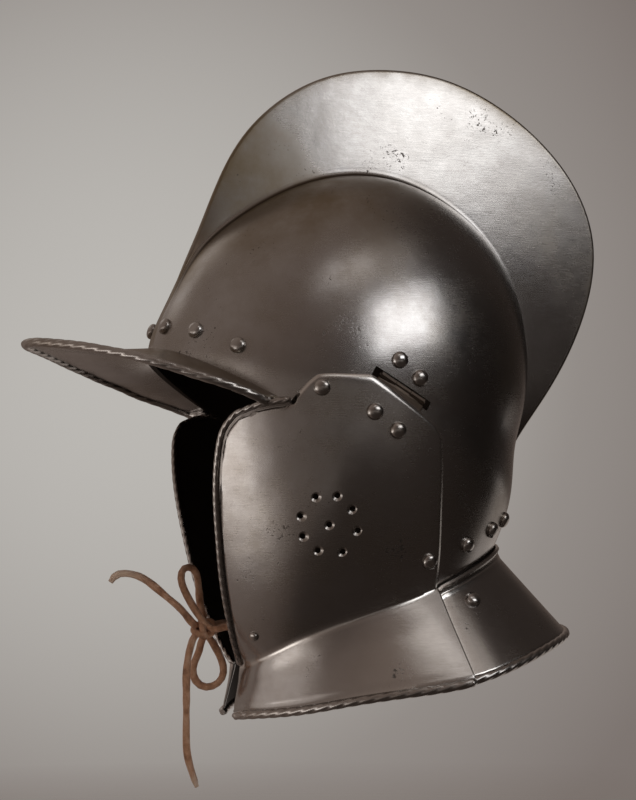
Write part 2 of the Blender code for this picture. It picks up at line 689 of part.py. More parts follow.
def slot_cutter():
    middle, axis, across, normal, length = hinge_frame()
    bm = bmesh.new()
    box(bm, middle, (axis, across, normal), (length / 2, BARREL_RADIUS + SLOT_CLEARANCE, 6 * WALL))
    return solid_of("slot_cutter", bm)


def leaf_grid(reach, start, off, thickness):
    """A hinge leaf from the barrel over the head form: outer and inner points."""
    middle, axis, across, normal = hinge_frame()[:4]
    sign = 1 if reach > 0 else -1
    edge = BARREL_RADIUS + 0.3 * SLOT_CLEARANCE
    cols = 5
    outer, inner = [], []
    for d in [start] + list(np.linspace(edge, abs(reach), 5)):
        blend = 0.0 if d == start else 1.0
        row_out, row_in = [], []
        for j in range(cols):
            s = BARREL_LENGTH * (j / (cols - 1) - 0.5)
            flat = middle + s * axis + sign * d * across
            front, up = -flat[1] / SIDE_UNIT, flat[2] / SIDE_UNIT
            for rows_of, level in ((row_out, off), (row_in, off - thickness)):
                near = middle + s * axis + sign * d * across + (level + sign * 0.4 * LEAF) * normal
                rows_of.append((1 - blend) * near + blend * dome(front, up, level))
        outer.append(row_out)
        inner.append(row_in)
    return np.array(outer), np.array(inner)


def make_hinge():
    """Each hinge: a leaf inside the skull, a leaf under the cheek piece, their knuckles and the pin."""
    middle, axis, across, normal = hinge_frame()[:4]
    centre = middle - (WALL / 2) * normal
    ends = [centre + axis * BARREL_LENGTH * t for t in (-0.5, -1 / 6, 1 / 6, 0.5)]
    gap = axis * SEAT_GAP / 2
    plates = {
        "skull": (SKULL_LEAF_REACH, -WALL - LEAF_GAP, [(0, 1), (2, 3)], [(1, 2)]),
        "cheek": (-CHEEK_LEAF_REACH, SEAT_GAP + LEAF, [(1, 2)], [(0, 1), (2, 3)]),
    }
    for part, (reach, off, own, others) in plates.items():
        outer, inner = leaf_grid(reach, 0.3 * BARREL_RADIUS, off, LEAF)
        leaf = shell(f"hinge_{part}_leaf_left", outer, inner, np.full(outer.shape[:2], LEAF / 2), 1)
        for k, (a, b) in enumerate(own):
            knuckle = cylinder(f"{part}_knuckle_{k}", ends[a] + gap, ends[b] - gap, BARREL_RADIUS)
            boolean(leaf, knuckle, "UNION", "MANIFOLD")
        for k, (a, b) in enumerate(others):
            start = ends[a] - (LEAF * axis if a == 0 else 0)
            stop = ends[b] + (LEAF * axis if b == 3 else 0)
            room = cylinder(f"{part}_room_{k}", start, stop, BARREL_RADIUS + SEAT_GAP)
            boolean(leaf, room, "DIFFERENCE", "MANIFOLD")
        past = axis * BARREL_LENGTH / 3
        bore_radius = HINGE_PIN_RADIUS + SEAT_GAP
        bore = cylinder(f"{part}_bore", ends[0] - past, ends[3] + past, bore_radius, PIN_SIDES)
        boolean(leaf, bore, "DIFFERENCE", "MANIFOLD")
        mirror_with_cuts(leaf, f"hinge_{part}_leaf_right")
    pin = cylinder("hinge_pin_left", ends[0] - 4 * gap, ends[3] + 4 * gap, HINGE_PIN_RADIUS, PIN_SIDES)
    flip(pin, "hinge_pin_right")


def make_knot():
    """The lace's knot, a rounded lump that the tied stretches leave."""
    bm = bmesh.new()
    bmesh.ops.create_uvsphere(bm, u_segments=12, v_segments=8, radius=1.0)
    size, place = Vector(KNOT_SIZE) / 1000, Vector(KNOT) / 1000
    for v in bm.verts:
        v.co = Vector((v.co.x * size.x, v.co.y * size.y, v.co.z * size.z)) + place
    mesh = bpy.data.meshes.new("lace_knot")
    bm.to_mesh(mesh)
    bm.free()
    mesh.shade_smooth()
    placed("lace_knot", mesh, LEATHER)


def make_lace():
    for name, route in LACE.items():
        line = curve(np.array(route, float), len(route))
        data = bpy.data.curves.new(name, "CURVE")
        data.dimensions = "3D"
        data.bevel_depth = LACE_RADIUS
        data.bevel_resolution = 2
        data.use_fill_caps = True
        path = data.splines.new("POLY")
        path.points.add(len(line) - 1)
        for point, p in zip(path.points, line):
            point.co = ((KNOT[0] + p[0]) / 1000, (KNOT[1] + p[1]) / 1000, (KNOT[2] + p[2]) / 1000, 1)
        placed(name, data, LEATHER)


def main():
    for obj in list(bpy.data.objects):
        bpy.data.objects.remove(obj, do_unlink=True)
    skull = make_skull()
    slot = slot_cutter()
    boolean(skull, slot, "DIFFERENCE")
    boolean(skull, flip(slot, "slot_cutter_right"), "DIFFERENCE")
    cheek = make_cheek("left")
    vents = vent_cutter()
    boolean(cheek, vents, "DIFFERENCE")
    mirror_with_cuts(cheek, "cheek_right")
    make_guard()
    make_rivets(guard_frame())
    make_knot()
    make_lace()
    make_hinge()


main()
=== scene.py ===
"""Looks of the burgonet helmet: roped plates, rivets, hinges, a knotted lace, studio light and camera."""

import math
from functools import partialmethod

import bmesh
import bpy
import numpy as np
from mathutils import Matrix, Vector


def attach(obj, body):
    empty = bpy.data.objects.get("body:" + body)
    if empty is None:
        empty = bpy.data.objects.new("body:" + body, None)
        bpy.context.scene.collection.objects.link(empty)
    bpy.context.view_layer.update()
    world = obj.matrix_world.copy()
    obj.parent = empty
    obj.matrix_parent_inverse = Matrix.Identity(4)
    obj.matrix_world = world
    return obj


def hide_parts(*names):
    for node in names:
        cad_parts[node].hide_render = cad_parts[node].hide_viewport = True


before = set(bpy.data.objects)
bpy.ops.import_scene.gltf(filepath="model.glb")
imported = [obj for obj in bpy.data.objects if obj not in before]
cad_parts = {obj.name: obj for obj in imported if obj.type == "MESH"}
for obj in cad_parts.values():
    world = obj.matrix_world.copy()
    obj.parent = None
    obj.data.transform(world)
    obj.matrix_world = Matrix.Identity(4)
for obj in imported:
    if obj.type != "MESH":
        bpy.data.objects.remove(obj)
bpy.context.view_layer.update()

# Sizes of the plates in metres, as in the solids
SIDE_UNIT = 0.110  # half the bowl's length, the unit of the side outlines
HEAD_HALF_WIDTH = 0.090
WALL = 0.0015
SEAT_HEIGHT = 1.16
SEAT_GAP = 0.0003
COMB_HEIGHT = 0.082
COMB_SLOT_HALF = 0.0005
COMB_TAPER = 0.057
COMB_EDGE = 0.005
COMB_FILLET = 0.005
COMB_START = 0.009
COMB_FADE = 0.003
COMB_FADE_SHARE = 0.3
PEAK_HALF_WIDTH = 0.0820
PEAK_LENGTH = 0.1295
PEAK_RISE = 0.0358
PEAK_DISH = 0.002
BEAD = 0.0026
FRONT_BEAD = 0.0018
ROPE_END = 0.212  # share of the cheek piece's top that the rope follows
CHEEK_GAP = 0.0020
RIM_HALF_WIDTH = 0.097
GUARD_GAP = 0.0010
GUARD_BAND = 0.0055
GUARD_TONGUE_DROP = 0.085  # in SIDE_UNIT
NAPE_LAP = 0.008
SEAM_LAP = 0.006
RIVET_RADIUS = 0.0047
RIVET_RISE = 0.0032
SMALL_RIVET = 0.6
BARREL_RADIUS = 0.0022
SLOT_CLEARANCE = 0.0005
LACE_RADIUS = 0.0021

# Radius of the bowl at its middle plane, every 15 degrees from the front over the top
BOWL = [(15 * k, radius) for k, radius in enumerate((
    0.973, 1.023, 1.027, 1.064, 1.093, 1.141, 1.203, 1.245, 1.250, 1.234, 1.185, 1.123,
    1.072, 1.043, 1.125, 1.215, 1.370, 1.545, 1.600, 1.547, 1.303, 1.103, 1.000, 0.955,
))]
# Outline of the comb: angle over the front, height over the bowl as a share of COMB_HEIGHT
COMB = [
    (24, 0.0), (32, 0.007), (40, 0.030), (50, 0.105), (60, 0.269), (70, 0.478), (80, 0.643), (90, 0.756),
    (100, 0.821), (110, 0.876), (120, 0.901), (130, 0.905), (140, 0.891), (150, 0.807), (160, 0.606),
    (170, 0.380), (180, 0.191), (190, 0.073), (200, 0.0),
]
# Peak edge from the root to the tip: (half width, forward, rise), shares of the three peak sizes
PEAK = [
    (0.94, 0.045, 0.03), (0.985, 0.12, 0.10), (1.00, 0.22, 0.22), (0.997, 0.325, 0.335), (0.963, 0.40, 0.42),
    (0.925, 0.455, 0.495), (0.892, 0.515, 0.565), (0.85, 0.575, 0.63), (0.778, 0.643, 0.71),
    (0.674, 0.718, 0.785), (0.56, 0.787, 0.855), (0.424, 0.855, 0.915), (0.28, 0.923, 0.965),
    (0.16, 0.973, 0.995), (0.0, 1.0, 1.0),
]
# Lower edge of the bowl's side under the cheek piece: (front, up)
SKULL_SIDE = [(0.445, -0.062), (0.33, -0.17), (0.16, -0.36), (0.0, -0.58), (-0.11, -0.82), (-0.20, -1.12)]
BROW_TOP = (0.991, 0.252)
NAPE_END = (-0.945, -0.743)
NAPE_SIDE = (-0.412, -0.966)
NAPE_SLOPE = (NAPE_END[1] - NAPE_SIDE[1]) / (NAPE_END[0] - NAPE_SIDE[0])
# Cheek piece: front, top, rear and crease, each (front, up)
CHEEK_FRONT = [
    (0.518, -1.409), (0.573, -1.291), (0.627, -1.132), (0.673, -0.950), (0.709, -0.745), (0.736, -0.545),
    (0.745, -0.391), (0.740, -0.273), (0.722, -0.190), (0.680, -0.127),
]
CHEEK_TOP = [
    (0.680, -0.127), (0.600, -0.092), (0.510, -0.072), (0.450, -0.066), (0.410, -0.018), (0.365, 0.036),
    (0.320, 0.073), (0.255, 0.078), (0.150, 0.077), (0.050, 0.075),
    (-0.123, -0.043), (-0.305, -0.168), (-0.342, -0.225),
]
CHEEK_REAR = [(-0.382, -1.0), (-0.376, -0.8), (-0.364, -0.6), (-0.355, -0.37), (-0.342, -0.225)]
CREASE = [(0.518, -1.409), (0.315, -1.255), (0.082, -1.155), (-0.173, -1.073), (-0.382, -1.0)]
# Rim of the collar from the chin to the nape: (half width as a share of RIM_HALF_WIDTH, front, up)
RIM = [
    (0.13, 0.568, -1.632), (0.36, 0.475, -1.610), (0.598, 0.322, -1.578), (0.784, 0.118, -1.528),
    (0.907, -0.109, -1.487), (0.969, -0.30, -1.460), (1.0, -0.491, -1.423), (0.928, -0.745, -1.355),
    (0.722, -1.018, -1.278), (0.464, -1.209, -1.233), (0.22, -1.29, -1.212), (0.0, -1.31, -1.205),
]
SEAM_FRONT = -0.475
# Rivets on each side: name, plate, front, up, size share
RIVETS = [
    ("brow_rivet_inner", "skull", 0.945, 0.355, 1.0), ("brow_rivet_middle", "skull", 0.842, 0.315, 1.0),
    ("brow_rivet_outer", "skull", 0.672, 0.226, 1.0), ("lobe_rivet", "cheek", 0.300, 0.009, 1.0),
    ("cheek_hinge_rivet_front", "cheek", 0.036, -0.109, 1.0),
    ("cheek_hinge_rivet_rear", "cheek", -0.087, -0.200, 1.0),
    ("skull_hinge_rivet_front", "skull", -0.109, 0.155, 1.0),
    ("skull_hinge_rivet_rear", "skull", -0.218, 0.067, 1.0),
    ("cheek_rear_rivet", "cheek", -0.309, -0.855, 1.0), ("lace_rivet", "cheek", 0.518, -1.236, SMALL_RIVET),
    ("nape_rivet_outer", "skull", -0.564, -0.773, 1.0), ("nape_rivet_middle", "skull", -0.750, -0.695, 1.0),
    ("nape_rivet_inner", "skull", -0.862, -0.641, 1.0),
]
GUARD_RIVET = (0.17, 0.84)
VENT_CENTRE = (0.243, -0.671)
# Vent holes round the middle one: degrees from the front, turning downwards, and distance in millimetres
VENTS = [(25, 16.0), (67, 15.7), (116, 17.1), (167, 16.2), (214, 15.4), (255, 16.7), (296, 17.1), (344, 16.4)]
HINGE_LINE = [(0.029, 0.100), (-0.271, -0.076)]

# The lace's knot and the lace's route from it, in millimetres
KNOT = (4.0, -78.2, -260.8)
LACE = {
    "lace_end_left": [(2, -6, 3), (5, -11, 8), (7, -16, 13), (7, -22, 18), (5, -30, 25), (2, -37, 30),
                      (-1, -44, 32), (-4, -50, 31), (-5, -53, 27)],
    "lace_loop_upper": [(5, -1.5, 5.2), (5, -7, 13), (5, -12, 22), (4, -14, 30), (1, -11, 35), (-2, -5, 34),
                        (-4, -2, 27), (-5, -1, 18), (-4, 0, 11), (-3, 1, 6)],
    "lace_loop_lower": [(-1, 4, -5), (0, 7, -10), (1, 10, -16), (1, 12, -23), (-1, 11, -29), (-3, 6, -33),
                        (-5, 1, -33), (-7, -3, -29), (-8, -4, -23), (-8, -2, -17), (-7, 0, -11), (-6, 1, -6)],
    "lace_end_right": [(3, -5.5, -3.6), (5, -8, -8), (6, -10, -15), (6, -11, -24), (6, -11, -34),
                       (6, -11, -44), (6, -11, -57), (5, -10, -71), (4, -7, -81), (3, -4, -89)],
    "lace_tie_left": [(6, 5, 0), (8, 9, 1), (11, 15, 2), (16, 20, 2), (23, 23, 1), (31, 25, -1)],
    "lace_tie_right": [(-6, 5, 0), (-13, 8, 1), (-20, 15, 2), (-26, 20, 2), (-32, 23, 1), (-40, 25, -1)],
}
# Turns round the knot: offset and radii in millimetres, tilt, turn, start and end in degrees, thong's radius
WRAPS = [
    ((0, 0, 0), (4.6, 5.0), 78, 75, -20, 300, 0.0020),
    ((1.5, -1.5, -1.0), (4.2, 4.4), 30, 10, 40, 380, 0.0019),
    ((1.0, 2.5, 0.5), (4.4, 3.6), 62, -30, 0, 330, 0.0019),
]

# Numbers of points and steps in the meshes
SKULL_TURNS = 150
SKULL_RINGS = 44
PEAK_STEPS = 26
COMB_STEPS = (8, 22, 4)  # fillet, face and edge
LAST_RING = 0.992  # the last ring lies close to the comb's foot, so that the light turns sharply there
CHEEK_ROWS = 92
FLANGE_ROWS = 22
FLARE_ROWS = 40
BAND_ROWS = 8
GUARD_COLUMNS = 110
VENT_SIDES = 24
RIVET_SIDES = 28
LACE_SIDES = 14
LACE_RINGS = 420

# Relief on the plates and edges, in metres
EDGE_ROUND = (0.62, 0.8)  # shares of the half thickness at the sides and the middle of a rounded edge
ROPE = {"pitch": 0.0085, "depth": 0.14}
FRONT_ROPE = {"pitch": 0.0056, "depth": 0.2}
ROPE_STRANDS = 4
ROPE_SIDES = 28
ROPE_STEP = 0.0007
ROPE_TAPER = 0.0022
BORDER_DEPTH = 0.0009  # the sunk border along the cheek piece's front rope
BORDER = (0.0036, 0.0044)
BEVEL_DEPTH = 0.0010
BEVEL = 0.0020
CREASE_RISE = 0.0007
CREASE_ROWS = 9
GROOVE_DEPTH = 0.0004
GROOVE_PLACE = 0.0040
GROOVE_WIDTH = 0.0009
RIDGE_RISE = 0.0008  # the ridges of the neck guard's band
VENT_PROFILE = [  # (radius, height over the plate's outer side)
    (0, -0.006), (0.0016, -0.006), (0.0016, -0.0010), (0.0029, 0.0), (0.0035, 0.0006), (0.0035, 0.004),
    (0, 0.004),
]

# Colours, linear. Steels: bright, dull and brown parts, roughness, share of the pits, share of the scratches
STEELS = {
    "plate": ((0.50, 0.485, 0.475), (0.43, 0.405, 0.39), (0.27, 0.215, 0.145), 0.19, 1.0, 1.0),
    "edge": ((0.56, 0.54, 0.52), (0.42, 0.39, 0.37), (0.27, 0.20, 0.13), 0.24, 0.0, 0.4),
    "rivet": ((0.60, 0.585, 0.57), (0.48, 0.46, 0.445), (0.27, 0.20, 0.13), 0.15, 0.0, 0.3),
    "hinge": ((0.17, 0.135, 0.11), (0.12, 0.095, 0.078), (0.14, 0.095, 0.06), 0.45, 0.5, 0.6),
}
# Colour of polished steel, also painted on as highlights
POLISH_AND_HIGHLIGHT = (0.78, 0.75, 0.71)
# Colour of painted shade
PAINTED_SHADE_COLOUR = (0.06, 0.045, 0.035)
PITTED = (0.10, 0.085, 0.075)
SCRATCH_SCALE = (90.0, 130.0, 1500.0)
SCRATCH_TILT = math.radians(24)
INSIDE_COLOURS = [(0.035, 0.028, 0.023), (0.075, 0.055, 0.042)]
LEATHER_TONES = [(0.30, (0.30, 0.145, 0.08)), (0.50, (0.66, 0.37, 0.225)), (0.70, (0.84, 0.58, 0.41))]
LEATHER_NAP = (0.36, 0.185, 0.11)
LEATHER_WORN = (0.90, 0.74, 0.60)

# Camera and studio
VIEW_TURN = 17.0  # degrees from the left side towards the front
VIEW_LIFT = -3.7
VIEW_AIM = (0.0, -0.008, -0.1276)
VIEW_DISTANCE = 1.18
LENS = 90
SENSOR = 36
BACKDROP_RADIUS = 9.0
# Painted light on the glowing backdrop: darker all round, palest in a pool at one side
BACKDROP_TONES = [
    (0.0, (0.20, 0.175, 0.16)), (0.94, (0.20, 0.172, 0.158)), (0.970, (0.290, 0.264, 0.246)),
    (1.0, (0.50, 0.482, 0.455)),
]
FLOOR_RADIUS = 2.4
FLOOR_Z = -0.60
FLOOR_COLOUR = (0.80, 0.78, 0.755)
LIGHT_DISTANCE = 4.0
LIGHT_STEP = 0.08  # each soft box stands a step behind the one before, so that none lies in another
# Soft boxes: name, degrees right of the camera, degrees up, degrees (wide, high), radiance, colour
LIGHTS = [
    ("key", 49, 28.5, (26, 17), 1.35, (0.985, 0.99, 1.0)),
    ("key_edge", 49.5, 30, (35, 24), 0.95, (0.985, 0.99, 1.0)),
    ("top", 20, 56, (20, 14), 0.40, (1.0, 0.98, 0.96)),
    ("top_wide", 46, 55, (36, 14), 0.26, (1.0, 0.96, 0.93)),
    ("left_core", -61, -14, (36, 16), 1.05, (1.0, 0.96, 0.92)),
    ("left_wide", -64, -8, (66, 36), 0.34, (1.0, 0.93, 0.88)),
    ("front_fill", -18, -6, (50, 24), 0.09, (1.0, 0.90, 0.83)),
    ("low_fill", 26, 3, (46, 11), 0.14, (1.0, 0.92, 0.86)),
    ("nape", 148, -29, (56, 40), 0.34, (1.0, 0.92, 0.86)),
    ("back_left", -138, 33, (30, 26), 0.25, (1.0, 0.96, 0.92)),
]
# The room's light from its darkest side to its palest, and a dark screen at the right
ROOM_TONES = [
    (0.0, (0.034, 0.026, 0.022)), (0.26, (0.046, 0.036, 0.031)), (0.42, (0.120, 0.093, 0.080)),
    (0.64, (0.175, 0.137, 0.118)), (0.85, (0.235, 0.190, 0.165)),
]
SCREEN_PLACE = (112, 22)
SCREEN_TONES = [(0.76, 1.0), (0.93, 0.30)]

SEAT = np.array((0, 0, -SEAT_HEIGHT * SIDE_UNIT))
TINY = 1e-12


def place_object(name, data):
    obj = bpy.data.objects.new(name, data)
    bpy.context.scene.collection.objects.link(obj)
    return obj


def view_axes():
    """Directions right, up and back towards the camera, as seen in the photograph's view."""
    turn, lift = math.radians(VIEW_TURN), math.radians(VIEW_LIFT)
    back = Vector((math.cos(turn) * math.cos(lift), -math.sin(turn) * math.cos(lift), math.sin(lift)))
    right = Vector((math.sin(turn), math.cos(turn), 0))
    return right, back.cross(right), back


def make_camera():
    right, up, back = view_axes()
    data = bpy.data.cameras.new("camera")
    data.lens = LENS
    data.sensor_width = SENSOR
    camera = place_object("camera", data)
    turn = Matrix((right, up, back)).transposed().to_4x4()
    camera.matrix_world = Matrix.Translation(Vector(VIEW_AIM) + VIEW_DISTANCE * back) @ turn
    bpy.context.scene.camera = camera


# Curves and the head form


def spline(table, x, wrap=0.0):
    """Smooth curve through the rows of a table whose first column is the position."""
    t = np.array(table, float)
    if wrap:
        low, high = t.copy(), t.copy()
        low[:, 0] -= wrap
        high[:, 0] += wrap
        t = np.concatenate([low[-4:], t, high[:4]])
        x = (np.asarray(x, float) - table[0][0]) % wrap + table[0][0]
    k, v = t[:, 0], t[:, 1:]
    h = np.diff(k)[:, None]
    slope = np.diff(v, axis=0) / h
    m = np.eye(len(k))
    rhs = np.zeros(v.shape)
    for i in range(1, len(k) - 1):
        m[i, i - 1 : i + 2] = h[i - 1, 0], 2 * (h[i - 1, 0] + h[i, 0]), h[i, 0]
        rhs[i] = 6 * (slope[i] - slope[i - 1])
    c = np.linalg.solve(m, rhs)
    x = np.asarray(x, float)
    i = np.clip(np.searchsorted(k, x) - 1, 0, len(k) - 2)
    a, b, d = (k[i + 1] - x)[..., None], (x - k[i])[..., None], h[i]
    bend = (c[i] * a**3 + c[i + 1] * b**3) / (6 * d)
    out = bend + (v[i] / d - c[i] * d / 6) * a + (v[i + 1] / d - c[i + 1] * d / 6) * b
    return out[..., 0] if v.shape[1] == 1 else out


def lengths(points):
    p = np.asarray(points, float)
    return np.concatenate([[0], np.cumsum(np.linalg.norm(np.diff(p, axis=0), axis=1))])


def along(points, share):
    """Points at shares of the length of a polyline."""
    p = np.asarray(points, float)
    s = lengths(p)
    at = np.asarray(share, float) * s[-1]
    return np.stack([np.interp(at, s, p[:, i]) for i in range(p.shape[1])], -1)


def curve(points, count=200):
    """A smooth curve through points, as many points evenly spaced."""
    p = np.asarray(points, float)
    s = lengths(p)
    fine = spline(np.column_stack([s, p]), np.linspace(0, s[-1], 4 * count))
    return along(fine, np.linspace(0, 1, count))


def unit(v):
    """Vectors at length 1."""
    return v / (np.linalg.norm(v, axis=-1, keepdims=True) + TINY)


def eased(points, cut, steps=4):
    """A polyline with its corners rounded within a distance."""
    p = np.asarray(points, float)
    out = [p[0]]
    for a, b, c in zip(p, p[1:], p[2:]):
        start, end = (b + unit(d) * min(cut, 0.48 * np.linalg.norm(d)) for d in (a - b, c - b))
        for t in np.linspace(0, 1, steps + 1):
            out.append((1 - t) ** 2 * start + 2 * t * (1 - t) * b + t * t * end)
    out.append(p[-1])
    return np.array(out)


def polar(front, up):
    """Angle over the front and radius of a point seen from the side, both in SIDE_UNIT."""
    return np.degrees(np.arctan2(up, front)), np.hypot(front, up)


def dome(front, up, off=0.0):
    """Point of the head form, at an offset, that lies at (front, up) seen from the side."""
    front, up = np.asarray(front, float), np.asarray(up, float)
    angle, r = polar(front, up)
    j = spline(BOWL, angle, 360.0) + off / SIDE_UNIT
    x = (HEAD_HALF_WIDTH + off) * np.sqrt(np.clip(1 - (r / j) ** 2, 0, 1))
    return np.stack([x, -SIDE_UNIT * front, SIDE_UNIT * up], -1)


def chart(front, up, off=0.0):
    """(front, up) to the flat chart of the dome, on which the middle plane is the unit circle."""
    angle, r = polar(front, up)
    j = spline(BOWL, angle, 360.0) + off / SIDE_UNIT
    q = np.arcsin(np.clip(r / j, 0, 1)) / (math.pi / 2)
    a = np.radians(angle)
    return np.stack([q * np.cos(a), q * np.sin(a)], -1)


def unchart(q, off=0.0):
    """A point of the chart, on the head form."""
    angle, rho = polar(q[..., 0], q[..., 1])
    j = spline(BOWL, angle, 360.0) * SIDE_UNIT + off
    r = j * np.sin(rho * math.pi / 2)
    a = np.radians(angle)
    x = (HEAD_HALF_WIDTH + off) * np.cos(rho * math.pi / 2)
    return np.stack([x, -r * np.cos(a), r * np.sin(a)], -1)


def coons(front, rear, low, high, across, shares):
    """Patch between four edges: front and rear run up at shares, low and high run rearwards at across."""
    u = across[:, None, None]
    v = shares[None, :, None]
    ruled = (1 - u) * front[None] + u * rear[None] + (1 - v) * low[:, None] + v * high[:, None]
    corners = (1 - u) * ((1 - v) * front[0] + v * front[-1]) + u * ((1 - v) * rear[0] + v * rear[-1])
    return ruled - corners


def frame_at(front, up, off):
    """Place on the head form seen from the side, with its normal as the local Z axis."""
    step = 0.01
    point = dome(front, up, off)
    ahead = dome(front + step, up, off) - dome(front - step, up, off)
    above = dome(front, up + step, off) - dome(front, up - step, off)
    x, z = unit(ahead), unit(np.cross(above, ahead))
    return point, x, np.cross(z, x), z


def normals(grid):
    n = unit(np.cross(np.gradient(grid, axis=0), np.gradient(grid, axis=1)))
    i, j = grid.shape[0] // 2, grid.shape[1] // 2
    return -n if np.dot(n[i, j], grid[i, j] * (1, 1, 0)) < 0 else n


def mirrored(grid):
    """A left half with its right half, which share the last column on the middle plane."""
    return np.concatenate([grid, grid[:, -2::-1] * (-1, 1, 1)], axis=1)


def ramp(x, low, high):
    """Smooth step from 0 at low to 1 at high."""
    t = np.clip((x - low) / (high - low), 0, 1)
    return t * t * (3 - 2 * t)


def hump(x, middle, width):
    """Smooth bump of height 1 round a place."""
    return np.exp(-(((x - middle) / width) ** 2))


# Meshes


def edge_normals(outer, inner, i, j, ahead):
    """Unit vectors out of a plate's edge at its boundary cells, along the plate."""
    out = unit(np.cross(ahead, outer[i, j] - inner[i, j]))
    inward = outer[np.clip(i, 1, outer.shape[0] - 2), np.clip(j, 1, outer.shape[1] - 2)] - outer[i, j]
    out[(out * inward).sum(1) > 0] *= -1
    return out


def plate_mesh(outer, inner, marks):
    """Closed plate between two grids, with a rounded edge; marks are point attributes of the outer grid."""
    rows, cols = outer.shape[:2]
    index = np.arange(rows * cols).reshape(rows, cols)
    top = np.stack([index[:-1, :-1], index[1:, :-1], index[1:, 1:], index[:-1, 1:]], -1).reshape(-1, 4)
    low = top[:, ::-1] + rows * cols
    loop = [(i, 0) for i in range(rows)] + [(rows - 1, j) for j in range(1, cols)]
    loop += [(i, cols - 1) for i in range(rows - 2, -1, -1)] + [(0, j) for j in range(cols - 2, 0, -1)]
    li, lj = np.array(loop).T
    a, b = outer[li, lj], inner[li, lj]
    middle = (a + b) / 2
    out = edge_normals(outer, inner, li, lj, np.roll(middle, -1, 0) - np.roll(middle, 1, 0))
    out *= np.linalg.norm(a - b, axis=1, keepdims=True) / 2
    near, far = EDGE_ROUND
    mid = middle + far * out
    quarter = [middle + near * out + s * near * (a - b) / 2 for s in (1, -1)]
    n, m = rows * cols, len(loop)
    verts = np.concatenate([outer.reshape(-1, 3), inner.reshape(-1, 3), quarter[0], mid, quarter[1]])
    rings = [index[li, lj]] + [2 * n + k * m + np.arange(m) for k in range(3)] + [n + index[li, lj]]
    faces = [top, low]
    for p, q in zip(rings, rings[1:]):
        faces.append(np.stack([p, q, np.roll(q, -1), np.roll(p, -1)], -1))
    inside = np.concatenate([np.zeros(len(top)), np.ones(len(low)), np.zeros(4 * m)])
    values = {}
    for key, grid in marks.items():
        values[key] = np.concatenate([grid.ravel(), grid.ravel() * 0, np.tile(grid[li, lj], 3)])
    return verts, np.concatenate(faces), inside, values


def edge_path(outer, inner, cells, bead):
    """Centres of the rolled edge along boundary cells of a plate."""
    i, j = np.array(cells).T
    middle = (outer[i, j] + inner[i, j]) / 2
    out = edge_normals(outer, inner, i, j, np.gradient(middle, axis=0))
    half = np.linalg.norm(outer[i, j] - inner[i, j], axis=1) / 2
    return middle + out * np.sqrt(bead**2 - half**2)[:, None]


def turning_frames(path):
    """Two normals along a path, without twist."""
    tangent = unit(np.gradient(path, axis=0))
    side = np.cross(tangent[0], (0, 0, 1))
    if np.linalg.norm(side) < 0.1:
        side = np.cross(tangent[0], (1, 0, 0))
    sides = [unit(side)]
    for t in tangent[1:]:
        sides.append(unit(sides[-1] - t * np.dot(sides[-1], t)))
    return np.array(sides), np.cross(tangent, sides)


def tube_mesh(path, radii, sides):
    """Tube round a path; radii is one number for each point and side, shape (points, sides)."""
    count = len(path)
    u, v = turning_frames(path)
    a = np.arange(sides) * 2 * math.pi / sides
    ring = np.cos(a)[None, :, None] * u[:, None] + np.sin(a)[None, :, None] * v[:, None]
    verts = (path[:, None] + radii[:, :, None] * ring).reshape(-1, 3)
    index = np.arange(count * sides).reshape(count, sides)
    near, far = index[:-1], index[1:]
    quads = np.stack([near, np.roll(near, -1, 1), np.roll(far, -1, 1), far], -1).reshape(-1, 4)
    faces = [tuple(q) for q in quads] + [tuple(index[0, ::-1]), tuple(index[-1])]
    return verts, faces


def rope_mesh(path, radius, pitch, depth):
    """Rolled edge filed like a rope: strands wind round it, each a pitch from the next."""
    s = lengths(path)
    count = int(s[-1] / ROPE_STEP)
    path = along(path, np.linspace(0, 1, count))
    s = np.linspace(0, s[-1], count)
    a = np.arange(ROPE_SIDES) * 2 * math.pi / ROPE_SIDES
    phase = ROPE_STRANDS / 2 * (a[None] + 2 * math.pi * s[:, None] / (ROPE_STRANDS * pitch))
    relief = 1 - depth + depth * np.abs(np.cos(phase)) ** 0.75
    ends = 0.55 + 0.45 * ramp(np.minimum(s, s[-1] - s), 0, ROPE_TAPER)
    return tube_mesh(path, radius * relief * ends[:, None], ROPE_SIDES)


def link(name, mesh, nodes, materials):
    """Makes a mesh a piece that stands for CAD nodes."""
    obj = place_object(name, mesh)
    for entry in materials:
        mesh.materials.append(entry)
    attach(obj, "root")
    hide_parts(*nodes)
    return obj


def new_mesh(name, verts, faces, values=None, shift=SEAT):
    """A closed mesh with its faces outward; values are point attributes."""
    mesh = bpy.data.meshes.new(name)
    faces = [tuple(int(i) for i in f) for f in faces]
    mesh.from_pydata([tuple(v) for v in np.asarray(verts) + shift], [], faces)
    for key, data in (values or {}).items():
        layer = mesh.attributes.new(key, "FLOAT", "POINT")
        layer.data.foreach_set("value", np.asarray(data, np.float32))
    bm = bmesh.new()
    bm.from_mesh(mesh)
    bmesh.ops.recalc_face_normals(bm, faces=bm.faces)
    if bm.calc_volume(signed=True) < 0:
        bmesh.ops.reverse_faces(bm, faces=bm.faces)
    bm.to_mesh(mesh)
    bm.free()
    return mesh


def smooth(mesh, angle=35):
    mesh.shade_smooth()
    mesh.set_sharp_from_angle(angle=math.radians(angle))


def cut(obj, meshes):
    """Takes closed meshes out of a piece."""
    cutters = [place_object(mesh.name, mesh) for mesh in meshes]
    for cutter in cutters:
        mod = obj.modifiers.new(cutter.name, "BOOLEAN")
        mod.operation = "DIFFERENCE"
        mod.solver = "MANIFOLD"
        mod.object = cutter
    graph = bpy.context.evaluated_depsgraph_get()
    mesh = bpy.data.meshes.new_from_object(obj.evaluated_get(graph))
    obj.modifiers.clear()
    mesh.name = obj.data.name
    obj.data = mesh
    for cutter in cutters:
        bpy.data.objects.remove(cutter, do_unlink=True)


